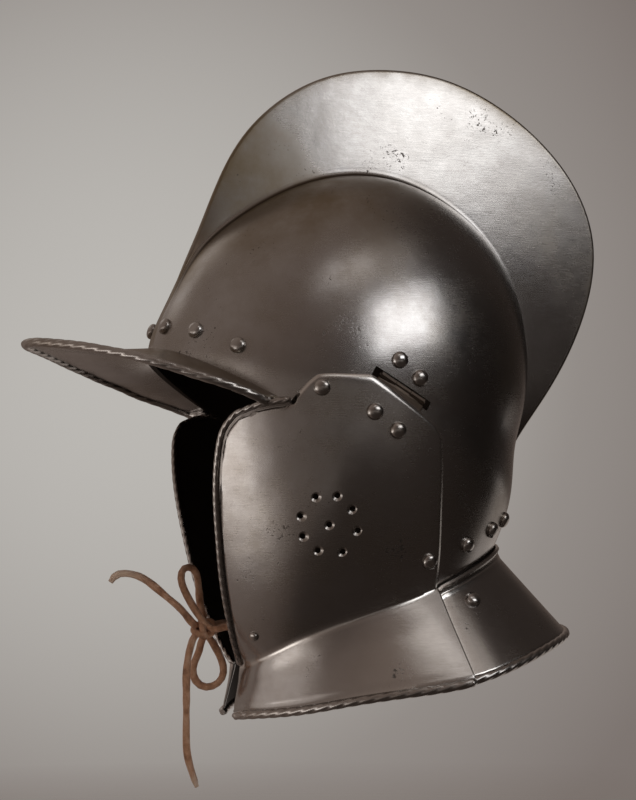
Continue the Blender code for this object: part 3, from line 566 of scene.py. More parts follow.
def turned(profile, place, sides, name):
    """A turned solid: profile rows are (radius, height)."""
    point, x, y, z = place
    verts, rings = [], []
    for r, h in profile:
        first = len(verts)
        if r == 0:
            verts.append(point + h * z)
            rings.append([first] * sides)
            continue
        for t in np.arange(sides) * 2 * math.pi / sides:
            verts.append(point + h * z + r * (math.cos(t) * x + math.sin(t) * y))
        rings.append(list(range(first, first + sides)))
    faces = []
    for low, high in zip(rings, rings[1:]):
        for k in range(sides):
            n = (k + 1) % sides
            faces.append(list(dict.fromkeys((low[k], low[n], high[n], high[k]))))
    return new_mesh(name, verts, faces)


def flipped(mesh, name):
    """A mesh on the other side of the middle plane."""
    other = mesh.copy()
    other.name = name
    other.transform(Matrix.Scale(-1, 4, (1, 0, 0)))
    other.flip_normals()
    return other


def join_into(mesh, extra):
    """Adds loose closed forms, each (verts, faces, slot), to a mesh."""
    bm = bmesh.new()
    bm.from_mesh(mesh)
    for verts, faces, slot in extra:
        made = [bm.verts.new(tuple(v)) for v in np.asarray(verts) + SEAT]
        new = []
        for f in faces:
            face = bm.faces.new([made[int(i)] for i in f])
            face.material_index = slot
            new.append(face)
        bmesh.ops.recalc_face_normals(bm, faces=new)
    bm.to_mesh(mesh)
    bm.free()


def plate_piece(name, node, outer, inner, marks, looks, lit_rows=0):
    """A plate that stands for its node: steel outside, dark inside but for its first rows."""
    verts, faces, inside, values = plate_mesh(outer, inner, marks)
    cells = outer.shape[1] - 1
    first = (outer.shape[0] - 1) * cells
    inside[first : first + lit_rows * cells] = 0
    mesh = new_mesh(name, verts, faces, values)
    mesh.polygons.foreach_set("material_index", inside.astype(np.int32))
    return link(name, mesh, [node], [looks[key] for key in ("plate", "inside", "edge")])


def add_ropes(obj, *ropes):
    """Joins ropes, which take the piece's third material, to a plate."""
    join_into(obj.data, [(*rope, 2) for rope in ropes])
    smooth(obj.data)


# Skull


def cut_edge(start, slope, corner, shares):
    """A cut across the bowl, straight seen from the side, from its corner to the comb strip, on the chart."""
    reach = np.linspace(0, 1.6, 4000)
    sign = 1 if start[0] > corner[0] else -1
    front = corner[0] + sign * reach
    up = corner[1] + slope * (front - corner[0])
    angle, r = polar(front, up)
    x = HEAD_HALF_WIDTH * np.sqrt(np.clip(1 - (r / spline(BOWL, angle, 360.0)) ** 2, 0, 1))
    last = np.argmax(x < COMB_START)
    line = dome(front[:last], up[:last])
    return along(np.column_stack([line, chart(front[:last], up[:last])]), shares)[:, 3:]


def comb_strip(angle, off):
    """Rows from the comb's foot to its edge at one angle: (half thickness, radius)."""
    fillet_steps, face_steps, edge_steps = COMB_STEPS
    bowl = spline(BOWL, angle, 360.0) * SIDE_UNIT + off
    start = COMB_START + off / 2
    within = COMB[0][0] < angle < COMB[-1][0]
    full = COMB_HEIGHT * max(0.0, float(spline(COMB, angle))) if within else 0.0
    height = full if off == 0 else full * full / (full + COMB_EDGE)
    thin = full / (full + COMB_FADE)
    fade = COMB_FADE_SHARE * start * (1 - thin)
    edge = (WALL + COMB_SLOT_HALF + off) * thin + fade
    base = edge + COMB_TAPER * full + fade
    fillet = COMB_FILLET * height / (height + 1.5 * COMB_FILLET)
    foot = np.array([start, bowl * math.sqrt(1 - (start / (HEAD_HALF_WIDTH + off)) ** 2)])
    knee, rise = np.array([base, bowl]), np.array([base, bowl + fillet])
    shoulder = np.array([edge, bowl + height - min(edge, 0.4 * height)])
    rows = []
    for t in np.linspace(0, 1, fillet_steps + 1)[1:]:
        rows.append((1 - t) ** 2 * foot + 2 * t * (1 - t) * knee + t * t * rise)
    for t in np.concatenate([[0.01], np.linspace(0, 0.99, face_steps - 1)[1:], [1.0]]):
        rows.append((1 - t) * rise + t * shoulder)
    for t in np.linspace(0, math.pi / 2, edge_steps + 1)[1:]:
        rows.append(np.array([edge * math.cos(t), shoulder[1] + (bowl + height - shoulder[1]) * math.sin(t)]))
    rows[-1][0] = 0.0
    return rows


def half_bowl(off):
    """Left half of the bowl and comb: rows from the brow to the nape, columns from the side to the edge."""
    brow_slope = (BROW_TOP[1] - SKULL_SIDE[0][1]) / (BROW_TOP[0] - SKULL_SIDE[0][0])
    low_nape = NAPE_SIDE[1] + NAPE_SLOPE * (SKULL_SIDE[-1][0] - NAPE_SIDE[0]) - NAPE_LAP / SIDE_UNIT
    nape_corner = (SKULL_SIDE[-1][0], low_nape)
    shares = np.append(np.linspace(0, LAST_RING, SKULL_RINGS), 1.0)
    front = cut_edge(BROW_TOP, brow_slope, SKULL_SIDE[0], shares)
    rear = cut_edge(NAPE_END, NAPE_SLOPE, nape_corner, shares)
    side = curve(SKULL_SIDE[:-1] + [nape_corner], SKULL_TURNS + 1)
    low = chart(side[:, 0], side[:, 1])
    ends = [np.degrees(np.arctan2(e[-1][1], e[-1][0])) % 360 for e in (front, rear)]
    angles = np.linspace(ends[0], ends[1], SKULL_TURNS + 1)
    ring = math.acos(COMB_START / HEAD_HALF_WIDTH) / (math.pi / 2)
    high = ring * np.stack([np.cos(np.radians(angles)), np.sin(np.radians(angles))], -1)
    across = np.linspace(0, 1, SKULL_TURNS + 1)
    points = unchart(coons(front, rear, low, high, across, shares), off)
    strips = []
    for angle in angles:
        a = math.radians(angle)
        strips.append([(x, -r * math.cos(a), r * math.sin(a)) for x, r in comb_strip(angle, off)])
    return np.concatenate([points, np.array(strips)], axis=1), angles


def peak_rows(brow):
    """Peak in rows from its edge towards the brow line, with a point for each of the brow line's."""
    table = np.array(PEAK)
    edge = curve(table * (PEAK_HALF_WIDTH, PEAK_LENGTH, PEAK_RISE), 400)
    root = brow[0]
    edge = np.column_stack([edge[:, 0], root[1] - edge[:, 1], root[2] + edge[:, 2]])
    share = lengths(brow) / lengths(brow)[-1]
    edge = along(edge, share)
    out = []
    for t in np.arange(PEAK_STEPS) / PEAK_STEPS:
        p = edge + (brow - edge) * t
        p[:, 2] -= PEAK_DISH * math.sin(math.pi * t) * np.sin(share * math.pi / 2)
        out.append(p)
    return np.array(out)


def skull_marks(rows, cols, angles):
    """Patina, painted shade and a painted highlight on the left half, by degrees over the front and columns
    from the comb's foot.
    """
    angle = np.concatenate([np.full(PEAK_STEPS, angles[0]), angles])[:, None]
    column = np.arange(cols)[None, :]
    up = column - SKULL_RINGS - 2
    foot = hump(up, 0, np.where(up < 0, 4.5, 2.0)) * ramp(angle, 24, 45) * (1 - 0.7 * ramp(angle, 85, 130))
    edge = 0.55 * hump(column, cols - 4, 2.2) * ramp(angle, 40, 70) * (angle < 200)
    brow = 0.7 * hump(column, 34, 9.0) * ramp(angle, 30, 60) * (1 - ramp(angle, 95, 130))
    brim = 0.55 * (np.arange(rows) < PEAK_STEPS)[:, None]
    comb_front = 0.7 * ramp(up, 2, 6) * (1 - ramp(angle, 62, 92)) * (angle > angles[0])
    # Painted shade: a dark line along the comb's foot, wider on the bowl's side
    line = 0.85 * hump(up, 0, np.where(up < 0, 1.2, 3.0)) * ramp(angle, 24, 40) * (1 - ramp(angle, 185, 200))
    # Painted shade: the rear of the comb is painted darker
    comb_rear = 0.42 * ramp(up, 2, 9) * ramp(angle, 122, 165)
    # Painted highlight: the middle of the comb's face is painted brighter
    painted_comb_highlight = 0.42 * ramp(up, 5, 9) * (1 - ramp(column, cols - 9, cols - 4)) * hump(angle, 112, 26.0)
    patina = np.clip(foot + edge + brow + brim + comb_front, 0, 1)
    return {"patina": patina, "grime": np.maximum(line, comb_rear), "wear": painted_comb_highlight}


def make_skull(looks):
    (outer, angles), (inner, _) = (half_bowl(off) for off in (0.0, -WALL))
    whole = np.concatenate([peak_rows(outer[0]), outer])
    under = whole - WALL * normals(whole)
    lower = np.concatenate([under[: PEAK_STEPS + 1], inner[1:]])
    lower[:, -1, 0] = 0.0
    marks = {}
    for key, grid in skull_marks(*whole.shape[:2], angles).items():
        marks[key] = np.concatenate([grid, grid[:, -2::-1]], axis=1)
    whole, lower = mirrored(whole), mirrored(lower)
    obj = plate_piece("skull_plate", "skull", whole, lower, marks, looks, PEAK_STEPS - 1)
    slot = slot_cutter()
    cut(obj, [slot, flipped(slot, "slot_cutter_right")])
    path = edge_path(whole, lower, [(0, j) for j in range(whole.shape[1])], BEAD)
    add_ropes(obj, rope_mesh(path, BEAD, **ROPE))


def slot_cutter():
    """Box that cuts the slot of the left hinge."""
    (f0, u0), (f1, u1) = HINGE_LINE
    first, last = dome(f0, u0), dome(f1, u1)
    middle, _, _, normal = frame_at((f0 + f1) / 2, (u0 + u1) / 2, 0.0)
    axis = unit(last - first)
    normal = unit(normal - axis * np.dot(normal, axis))
    a = (last - first) / 2
    b = (BARREL_RADIUS + SLOT_CLEARANCE) * np.cross(axis, normal)
    c = 6 * WALL * normal
    verts = [middle + i * a + j * b + k * c for i in (-1, 1) for j in (-1, 1) for k in (-1, 1)]
    faces = [(0, 1, 3, 2), (4, 6, 7, 5), (0, 4, 5, 1), (2, 3, 7, 6), (0, 2, 6, 4), (1, 5, 7, 3)]
    return new_mesh("slot_cutter", verts, faces)


# Cheek pieces


def rim_curve():
    """Rim of the collar's left half from the chin to the nape, closely spaced."""
    line = curve(np.array(RIM) * (RIM_HALF_WIDTH, SIDE_UNIT, SIDE_UNIT), 400)
    return np.column_stack([line[:, 0], -line[:, 1], line[:, 2]])


def cheek_grid():
    """Outer side of the left cheek piece: rows from the rim to the top, columns from front to rear."""
    top = eased(np.array(CHEEK_TOP), 0.014)
    length = lengths(top)[-1] * SIDE_UNIT
    close, wide = np.arange(0, 0.014, 0.0006), np.arange(0.014, length, 0.0013)
    stations = np.concatenate([close, wide, [length]]) / length
    high, low = along(top, stations), along(curve(CREASE, 400), stations)
    shares = np.linspace(0, 1, CHEEK_ROWS + 1)
    front = along(curve(CHEEK_FRONT, 400), shares)
    rear = along(curve(CHEEK_REAR, 400), shares)
    edges = [chart(e[:, 0], e[:, 1], CHEEK_GAP + WALL) for e in (front, rear, low, high)]
    plate = unchart(coons(*edges, stations, shares), CHEEK_GAP + WALL).transpose(1, 0, 2)
    rim = rim_curve()
    seam = np.argmin(np.abs(rim[:, 1] + SEAM_FRONT * SIDE_UNIT))
    rim = along(rim[: seam + 1], stations)
    t = np.linspace(0, 1, FLANGE_ROWS + 1)[:-1, None, None]
    flange = rim[None] * (1 - t) + plate[0][None] * t
    return np.concatenate([flange, plate]), stations


def distance_to(points, path, count):
    """Distance of each point of a grid from a path, taken as so many points."""
    p = points.reshape(-1, 3)
    best = np.full(len(p), np.inf)
    for q in along(path, np.linspace(0, 1, count)):
        best = np.minimum(best, ((p - q) ** 2).sum(1))
    return np.sqrt(best).reshape(points.shape[:2])


def make_cheek(looks):
    outer, stations = cheek_grid()
    rows, cols = outer.shape[:2]
    n = normals(outer)
    inner = outer - WALL * n
    top_front = int(np.searchsorted(stations, ROPE_END))
    cells = [(i, 0) for i in range(FLANGE_ROWS, rows)] + [(rows - 1, j) for j in range(1, top_front)]
    front_path = edge_path(outer, inner, cells, FRONT_BEAD)
    rim_path = edge_path(outer, inner, [(0, j) for j in range(cols)], BEAD)
    free = np.concatenate([outer[rows - 1, top_front:], outer[rows - 1 : FLANGE_ROWS : -1, cols - 1]])
    near, edge = distance_to(outer, front_path, 160), distance_to(outer, free, 500)
    lip = np.arange(rows)[:, None] - FLANGE_ROWS
    plate = lip > 0
    border = BORDER_DEPTH * (ramp(near, *BORDER) - 1) * plate
    bevel = BEVEL_DEPTH * (ramp(edge, 0.0, BEVEL) - 1) * plate
    crease = CREASE_RISE * (1 - ramp(-lip, 0, CREASE_ROWS)) * ~plate
    groove = -GROOVE_DEPTH * hump(distance_to(outer, rim_path, 140), GROOVE_PLACE, GROOVE_WIDTH) * ~plate
    shaped = outer + n * (border + bevel + crease + groove)[..., None]
    column = np.arange(cols)[None, :] / cols
    worn_edge = (1 - ramp(edge, 0.0008, 0.0024)) * plate
    # Painted highlight: a bright patch on the flange, ending at the crease
    lit = 0.95 * hump(column, 0.80, 0.20) * (1 - ramp(lip, -3, 0))
    marks = {
        "patina": 0.35 * ramp(column, 0.93, 1.0) * plate,
        # Worn bright edges, and a bright line on the crease that is both a filed bevel and a painted
        # highlight
        "wear": np.maximum(np.maximum(worn_edge, hump(lip, 0, 1.2)), lit),
        # Painted shade: a dark line in the sunk border beside the front rope
        "grime": 0.8 * hump(near, 0.0027, 0.0008) * plate,
    }
    left = plate_piece("cheek_plate_left", "cheek_left", shaped, inner, marks, looks)
    cut(left, vent_cutters())
    add_ropes(left, rope_mesh(front_path, FRONT_BEAD, **FRONT_ROPE), rope_mesh(rim_path, BEAD, **ROPE))
    link("cheek_plate_right", flipped(left.data, "cheek_plate_right"), ["cheek_right"], ())


def vent_cutters():
    """Countersunk holes, a ring round a middle one, each moved along z onto the plate's outer side."""
    point, x, y, z = frame_at(*VENT_CENTRE, CHEEK_GAP + WALL)
    places = [point]
    for degrees, distance in VENTS:
        a = math.radians(degrees)
        places.append(point + distance / 1000 * (math.cos(a) * x + math.sin(a) * y))
    meshes = []
    for k, place in enumerate(places):
        for _ in range(10):
            surface = dome(-place[1] / SIDE_UNIT, place[2] / SIDE_UNIT, CHEEK_GAP + WALL)
            place = place + z * (surface[0] - place[0]) / z[0]
        meshes.append(turned(VENT_PROFILE, (place, x, y, z), VENT_SIDES, f"vent_{k}"))
    return meshes


# Neck guard


def guard_grid(flare_steps, around, band_steps=1):
    """Outer side of the neck guard's left half: rows from the rim up, columns from the seam to the nape."""
    line = cut_edge(NAPE_END, NAPE_SLOPE, NAPE_SIDE, np.linspace(0, 1, 200))
    line = np.vstack([line, unit(line[-1])])
    top = unchart(line, GUARD_GAP + WALL)
    top[-1, 0] = 0.0
    stations = np.concatenate([[0], np.linspace(2 * BEAD / RIM_HALF_WIDTH, 1, around)])
    top = along(top, stations)
    lap = SEAM_LAP / SIDE_UNIT
    tongue = dome(NAPE_SIDE[0] + lap, NAPE_SIDE[1] - NAPE_SLOPE * lap - GUARD_TONGUE_DROP, GUARD_GAP + WALL)
    top = np.vstack([tongue, top])
    band = top.copy()
    band[:, 2] -= GUARD_BAND
    rim = rim_curve()
    step_in = BEAD + WALL + 2 * SEAT_GAP
    inset = np.array([(RIM_HALF_WIDTH - step_in) / RIM_HALF_WIDTH] * 2 + [1.0])
    middle = np.array([0, (rim[0, 1] + rim[-1, 1]) / 2, 0])
    rim = (rim - middle) * inset + middle
    seam = np.argmin(np.abs(rim[:, 1] + SEAM_FRONT * SIDE_UNIT))
    lead = np.argmin(np.abs(rim[:, 1] + SEAM_FRONT * SIDE_UNIT + SEAM_LAP))
    rim = np.vstack([rim[lead], along(rim[seam:], stations)])
    rim[-1, 0] = 0.0
    t = np.linspace(0, 1, flare_steps + 1)[:, None, None]
    b = np.linspace(0, 1, band_steps + 1)[1:, None, None]
    return np.concatenate([rim[None] * (1 - t) + band[None] * t, band[None] * (1 - b) + top[None] * b])


def make_guard(looks):
    outer = mirrored(guard_grid(FLARE_ROWS, GUARD_COLUMNS, BAND_ROWS))
    rows, cols = outer.shape[:2]
    n = normals(outer)
    inner = outer - WALL * n
    up = np.arange(rows)[:, None] - FLARE_ROWS
    ridge = RIDGE_RISE * (hump(up, 0, 1.0) + hump(up, BAND_ROWS - 1, 1.0))
    # Painted highlights along the band's two ridges
    wear = 0.7 * (hump(up, 0, 1.1) + hump(up, BAND_ROWS - 1, 1.1))
    from_middle = np.abs(np.arange(cols)[None, :] / (cols - 1) - 0.5) * 2
    marks = {
        "patina": 0.4 * hump(up, BAND_ROWS / 2, 1.5) * np.ones((1, cols)),
        # Painted light: the guard's ends at the seams are painted bright
        "wear": np.maximum(wear, 0.9 * ramp(from_middle, 0.86, 0.94)),
    }
    obj = plate_piece("neck_guard_plate", "neck_guard", outer + n * ridge[..., None], inner, marks, looks)
    path = edge_path(outer, inner, [(0, j) for j in range(cols)], BEAD)
    add_ropes(obj, rope_mesh(path, BEAD, **ROPE))


def guard_frame():
    """Place of the guard's rivet on its outer side, from a coarse grid."""
    flare, around = 10, 30
    half = guard_grid(flare, around)
    i, j = round(flare * GUARD_RIVET[1]), 1 + round(around * GUARD_RIVET[0])
    x = unit(half[i, j + 1] - half[i, j - 1])
    z = unit(np.cross(x, half[i + 1, j] - half[i - 1, j]))
    z = z * np.sign(z[0])
    return half[i, j], x, np.cross(z, x), z


# Rivets


def make_rivet(name, place, share, looks):
    radius, rise = RIVET_RADIUS * share, RIVET_RISE * share
    profile = [(0, -0.0002), (radius * 0.97, -0.0002), (radius, 0.10 * rise)]
    for t in np.linspace(0.12, math.pi / 2, 9)[:-1]:
        profile.append((radius * math.cos(t) ** 0.9, SEAT_GAP + rise * (0.1 + 0.9 * math.sin(t))))
    profile.append((0, SEAT_GAP + rise))
    left, right = name + "_left", name + "_right"
    head = turned(profile, place, RIVET_SIDES, left + "_head")
    smooth(head, 50)
    link(left + "_head", head, [left], [looks["rivet"]])
    link(right + "_head", flipped(head, right + "_head"), [right], ())


def make_rivets(looks):
    for name, plate, front, up, share in RIVETS:
        off = 0.0 if plate == "skull" else CHEEK_GAP + WALL
        make_rivet(name, frame_at(front, up, off), share, looks)
    make_rivet("guard_rivet", guard_frame(), 1.0, looks)


# Lace


def route(*parts):
    """A smooth route through the knot, from lists of points in millimetres about it."""
    points = np.concatenate([np.array(p, float) for p in parts]) + KNOT
    return curve(points / 1000, 2 * len(points))


def lace_tube(name, path, nodes, seed, tip, worn, looks, **facts):
    """A limp round thong, slightly uneven and pale at its ends; tip is its end's share of the thickness."""
    draw = np.random.default_rng(seed)
    fine = along(path, np.linspace(0, 1, LACE_RINGS))
    s = lengths(fine)
    a = np.arange(LACE_SIDES) * 2 * math.pi / LACE_SIDES
    uneven = np.interp(s, np.linspace(0, s[-1], 40), draw.uniform(-0.07, 0.07, 40))
    flat = 0.06 * np.cos(2 * (a[None] - 14 * s[:, None] * 2 * math.pi))
    radii = LACE_RADIUS * (1 + uneven[:, None] + flat)
    radii *= (tip + (1 - tip) * ramp(s[-1] - s, 0, 0.005))[:, None]
    verts, faces = tube_mesh(fine, radii, LACE_SIDES)
    pale = 0.7 * np.maximum(ramp(s, s[-1] - worn, s[-1] - 0.2 * worn), 1 - ramp(s, 0.004, 0.016))
    mesh = new_mesh(name, verts, faces, {"wear": np.repeat(pale, LACE_SIDES)}, shift=(0, 0, 0))
    smooth(mesh, 60)
    obj = link(name, mesh, nodes, [looks["leather"]])


def wrap_tube(offset, radii, tilt, turn, start, end, radius, count=60, sides=12):
    """Part of a turn of the thong round the knot."""
    t = np.linspace(math.radians(start), math.radians(end), count)
    ring = np.stack([radii[0] * np.cos(t), radii[1] * np.sin(t), 0 * t], -1)
    mat = np.array(Matrix.Rotation(math.radians(turn), 3, "Z") @ Matrix.Rotation(math.radians(tilt), 3, "Y"))
    path = ring @ mat.T + (np.array(KNOT) + offset)
    return tube_mesh(path / 1000, np.full((count, sides), radius), sides)


def make_lace(looks):
    wraps = [wrap_tube(*row) for row in WRAPS]
    mesh = new_mesh("lace_knot_turns", *wraps[0], shift=(0, 0, 0))
    join_into(mesh, [(verts - SEAT, faces, 0) for verts, faces in wraps[1:]])
    smooth(mesh, 60)
    knot_piece = link("lace_knot_turns", mesh, ["lace_knot"], [looks["leather"]])
    nodes = ("lace_tie_left", "lace_loop_upper", "lace_end_left")
    tie, loop, end = (LACE[node] for node in nodes)
    path = route(tie[::-1], [(3.5, 1.5, 2.5)], loop, [(-1, -2, 2)], end)
    lace_tube("lace_left", path, nodes, 3, 0.72, 0.032, looks, with_pieces=[knot_piece])
    nodes = ("lace_tie_right", "lace_loop_lower", "lace_end_right")
    tie, loop, end = (LACE[node] for node in nodes)
    path = route(tie[::-1], [(-5, 3, -3)], loop[::-1], [(0, 0, -2)], end)
    lace_tube("lace_right", path, nodes, 5, 0.6, 0.010, looks)


# Materials


class Tree:
    """A node tree with short calls that add nodes; each input takes a value or another node's output."""

    def __init__(self, owner, clear=False):
        owner.use_nodes = True
        self.nodes, self.links = owner.node_tree.nodes, owner.node_tree.links
        if clear:
            self.nodes.clear()

    def fill(self, socket, value):
        if isinstance(value, bpy.types.NodeSocket):
            self.links.new(value, socket)
        else:
            socket.default_value = value

    def add(self, kind, **values):
        n = self.nodes.new("ShaderNode" + kind)
        for key, value in values.items():
            if key in n.inputs.keys():
                self.fill(n.inputs[key], value)
            else:
                setattr(n, key, value)
        return n

    def noise(self, coords, scale, detail, roughness=0.5, distortion=0.0):
        values = {"Scale": scale, "Detail": detail, "Roughness": roughness, "Distortion": distortion}
        return self.add("TexNoise", Vector=coords, **values).outputs["Fac"]

    def mark(self, name):
        return self.add("Attribute", attribute_name=name).outputs["Fac"]

    def ramp(self, factor, *rows):
        """Colour ramp through rows of (position, grey or colour)."""
        n = self.add("ValToRGB", Fac=factor)
        elements = n.color_ramp.elements
        elements.remove(elements[-1])
        for k, (position, colour) in enumerate(rows):
            element = elements[0] if k == 0 else elements.new(position)
            element.position = position
            rgb = (colour,) * 3 if isinstance(colour, (int, float)) else colour
            element.color = (*rgb, 1.0)
        return n.outputs["Color"]

    def mix(self, factor, a, b, blend="MIX"):
        n = self.add("Mix", data_type="RGBA", blend_type=blend)
        self.fill(n.inputs[0], factor)
        for index, value in ((6, a), (7, b)):
            self.fill(n.inputs[index], value if isinstance(value, bpy.types.NodeSocket) else (*value, 1.0))
        return n.outputs[2]

    def calc(self, operation, a, b, clamp=False):
        n = self.add("Math", operation=operation, use_clamp=clamp)
        self.fill(n.inputs[0], a)
        self.fill(n.inputs[1], b)
        return n.outputs[0]

    plus = partialmethod(calc, "ADD")
    minus = partialmethod(calc, "SUBTRACT")
    times = partialmethod(calc, "MULTIPLY")

    def along(self, vector, direction):
        """How far a vector points in a direction."""
        n = self.add("VectorMath", operation="DOT_PRODUCT")
        self.fill(n.inputs[0], vector)
        n.inputs[1].default_value = direction
        return n.outputs["Value"]


def material(name):
    m = bpy.data.materials.new(name)
    tree = Tree(m)
    return m, tree, tree.nodes["Principled BSDF"].inputs, tree.add("TexCoord").outputs["Object"]


def steel(name, bright, dull, brown, rough, pits, scratch):
    """Old polished steel: cloudy patina, fine scratches, pits; brightest where the marks paint worn edges and
    highlights, darkest where they paint shade.
    """
    m, tree, shader, coords = material(name)
    cloud = tree.noise(coords, 60.0, 8.0, 0.68)
    clouded = tree.ramp(cloud, (0.30, 0.0), (0.70, 1.0))
    stretch = tree.add("Mapping", Vector=coords, Scale=SCRATCH_SCALE, Rotation=(SCRATCH_TILT, 0.0, 0.0))
    lines = tree.noise(stretch.outputs["Vector"], 1.0, 4.0, 0.6)
    grain = tree.noise(coords, 420.0, 4.0, 0.7)
    patches = tree.noise(coords, 34.0, 2.0)
    spots = tree.plus(tree.noise(coords, 520.0, 3.0, 0.65, 0.6), tree.times(patches, 0.9))
    pit = tree.times(tree.ramp(tree.times(spots, 0.5), (0.600, 0.0), (0.635, 1.0)), 0.85 * pits)
    patina, wear, grime = (tree.mark(key) for key in ("patina", "wear", "grime"))
    stain = tree.ramp(tree.noise(coords, 13.0, 7.0, 0.6), (0.45, 0.0), (0.66, 0.44))
    stain = tree.times(stain, tree.minus(1.0, tree.times(wear, 2.2, True)))
    aged = tree.plus(tree.times(patina, tree.plus(cloud, 0.35), True), stain, True)
    colour = tree.mix(aged, tree.mix(clouded, bright, dull), brown)
    # Worn edges and painted highlights are mixed in bright, and painted shade is mixed in dark
    colour = tree.mix(tree.times(wear, 0.8), colour, POLISH_AND_HIGHLIGHT)
    colour = tree.mix(pit, tree.mix(grime, colour, PAINTED_SHADE_COLOUR), PITTED)
    tree.fill(shader["Base Color"], colour)
    gloss = tree.plus(tree.times(clouded, 0.05), rough)
    gloss = tree.plus(gloss, tree.times(tree.minus(lines, 0.5), 0.12 * scratch))
    gloss = tree.plus(gloss, tree.times(aged, 0.22))
    tree.fill(shader["Roughness"], tree.plus(gloss, tree.times(pit, 0.3), True))
    shader["Metallic"].default_value = 1.0
    height = tree.plus(tree.times(lines, 0.28 * scratch), tree.times(grain, 0.35))
    height = tree.minus(height, tree.times(pit, 0.5))
    broad = tree.add("Bump", Strength=0.06, Distance=0.004, Height=patches)
    fine = tree.add("Bump", Strength=0.16, Distance=0.0004, Height=height, Normal=broad.outputs["Normal"])
    tree.fill(shader["Normal"], fine.outputs["Normal"])
    return m


def inside_steel():
    m, tree, shader, coords = material("inside_steel")
    tree.fill(shader["Base Color"], tree.mix(tree.noise(coords, 40.0, 5.0), *INSIDE_COLOURS))
    shader["Metallic"].default_value = 0.7
    shader["Roughness"].default_value = 0.62
    return m


def leather():
    """Dull thong with a nap, paler where it is worn."""
    m, tree, shader, coords = material("lace_leather")
    cloud = tree.noise(coords, 160.0, 5.0, 0.65)
    nap = tree.noise(coords, 1500.0, 3.0, 0.7)
    colour = tree.mix(tree.times(nap, 0.35), tree.ramp(cloud, *LEATHER_TONES), LEATHER_NAP)
    tree.fill(shader["Base Color"], tree.mix(tree.mark("wear"), colour, LEATHER_WORN))
    shader["Roughness"].default_value = 0.88
    shader["Sheen Weight"].default_value = 0.25
    shader["Sheen Roughness"].default_value = 0.5
    bump = tree.add("Bump", Strength=0.7, Distance=0.0008, Height=tree.plus(nap, cloud))
    tree.fill(shader["Normal"], bump.outputs["Normal"])
    return m


def make_looks():
    looks = {key: steel(key + "_steel", *row) for key, row in STEELS.items()}
    return {**looks, "inside": inside_steel(), "leather": leather()}


def dress_hinges(looks):
    """The hinge solids have their real shape, so they only take a browner steel."""
    for side in ("left", "right"):
        for name in ("hinge_skull_leaf_", "hinge_cheek_leaf_", "hinge_pin_"):
            for slot in bpy.data.objects[name + side].material_slots:
                slot.material = looks["hinge"]


# Studio


def seen_from_object(turn, lift):
    """Unit vector towards a place: degrees right of the camera, degrees up."""
    right, up, back = view_axes()
    t, e = math.radians(turn), math.radians(lift)
    return (math.cos(e) * (math.cos(t) * back + math.sin(t) * right) + math.sin(e) * up).normalized()


def staged(name, surface, tree, m):
    """Finishes a backdrop: its material's surface, and no reflection of it in the steel."""
    tree.fill(tree.add("OutputMaterial").inputs["Surface"], surface)
    obj = bpy.context.object
    obj.name = name
    obj.data.materials.append(m)
    obj.visible_glossy = False
    return obj


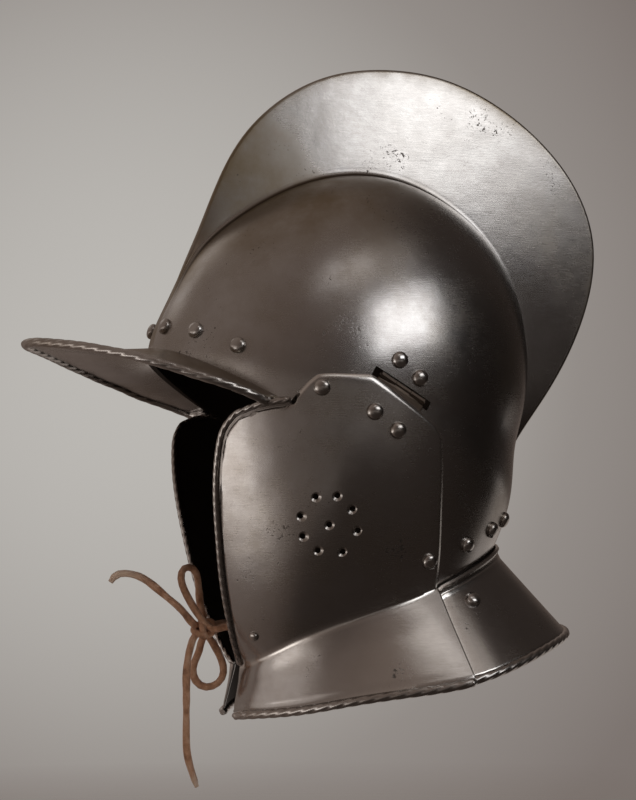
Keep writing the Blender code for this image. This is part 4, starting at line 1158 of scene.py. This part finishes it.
def make_backdrop():
    """A far pale dome that only the camera sees and that glows with a painted pool of light at one side, and
    a pale floor that fades into it.
    """
    m = bpy.data.materials.new("backdrop_paper")
    tree = Tree(m, clear=True)
    right, up, back = view_axes()
    brightest = (-back - 0.105 * right + 0.008 * up).normalized()
    unit = tree.add("VectorMath", operation="NORMALIZE")
    tree.fill(unit.inputs[0], tree.add("TexCoord").outputs["Object"])
    tone = tree.ramp(tree.along(unit.outputs["Vector"], brightest), *BACKDROP_TONES)
    bpy.ops.mesh.primitive_uv_sphere_add(segments=64, ring_count=32, radius=BACKDROP_RADIUS)
    sky = staged("backdrop", tree.add("Emission", Color=tone).outputs["Emission"], tree, m)
    sky.data.shade_smooth()
    sky.visible_diffuse = False
    sky.visible_shadow = False
    m = bpy.data.materials.new("floor_paper")
    tree = Tree(m, clear=True)
    far = tree.add("VectorMath", operation="LENGTH")
    tree.fill(far.inputs[0], tree.add("TexCoord").outputs["Object"])
    fade = tree.ramp(tree.calc("DIVIDE", far.outputs["Value"], FLOOR_RADIUS), (0.35, 0.0), (0.95, 1.0))
    paper = tree.add("BsdfDiffuse", Color=(*FLOOR_COLOUR, 1))
    both = tree.add("MixShader")
    for socket, value in zip(both.inputs, (fade, paper.outputs[0], tree.add("BsdfTransparent").outputs[0])):
        tree.fill(socket, value)
    place = (0, 0, FLOOR_Z)
    bpy.ops.mesh.primitive_circle_add(vertices=128, radius=FLOOR_RADIUS, fill_type="NGON", location=place)
    staged("floor", both.outputs[0], tree, m)


def soft_light(distance, name, turn, lift, angles, radiance, colour):
    """A soft box that lights the object and that only its steel shows."""
    toward = seen_from_object(turn, lift)
    width, height = (2 * distance * math.tan(math.radians(angle / 2)) for angle in angles)
    data = bpy.data.lights.new(name, "AREA")
    data.shape = "RECTANGLE"
    data.size, data.size_y = width, height
    data.energy = radiance * math.pi * width * height
    data.color = colour
    obj = place_object(name, data)
    facing = toward.to_track_quat("Z", "Y").to_matrix().to_4x4()
    obj.matrix_world = Matrix.Translation(Vector(VIEW_AIM) + distance * toward) @ facing
    obj.visible_camera = False


def facing_tone(tree, direction, *rows):
    """Colour ramp over how far the world's direction agrees with a direction: 0 opposite, 1 the same."""
    dot = tree.along(tree.add("TexCoord").outputs["Generated"], direction)
    return tree.ramp(tree.plus(tree.times(dot, 0.5), 0.5), *rows)


def make_lights():
    for k, row in enumerate(LIGHTS):
        soft_light(LIGHT_DISTANCE + LIGHT_STEP * k, *row)
    world = bpy.data.worlds.new("studio")
    tree = Tree(world)
    right, up, back = view_axes()
    room = facing_tone(tree, (-0.62 * right + 0.50 * up - 0.35 * back).normalized(), *ROOM_TONES)
    screen = facing_tone(tree, seen_from_object(*SCREEN_PLACE), *SCREEN_TONES)
    tree.fill(tree.nodes["Background"].inputs["Color"], tree.mix(1.0, room, screen, "MULTIPLY"))
    bpy.context.scene.world = world
    bpy.context.scene.view_settings.view_transform = "Standard"


make_camera()
looks = make_looks()
make_lace(looks)
make_skull(looks)
make_cheek(looks)
make_guard(looks)
make_rivets(looks)
dress_hinges(looks)
make_backdrop()
make_lights()
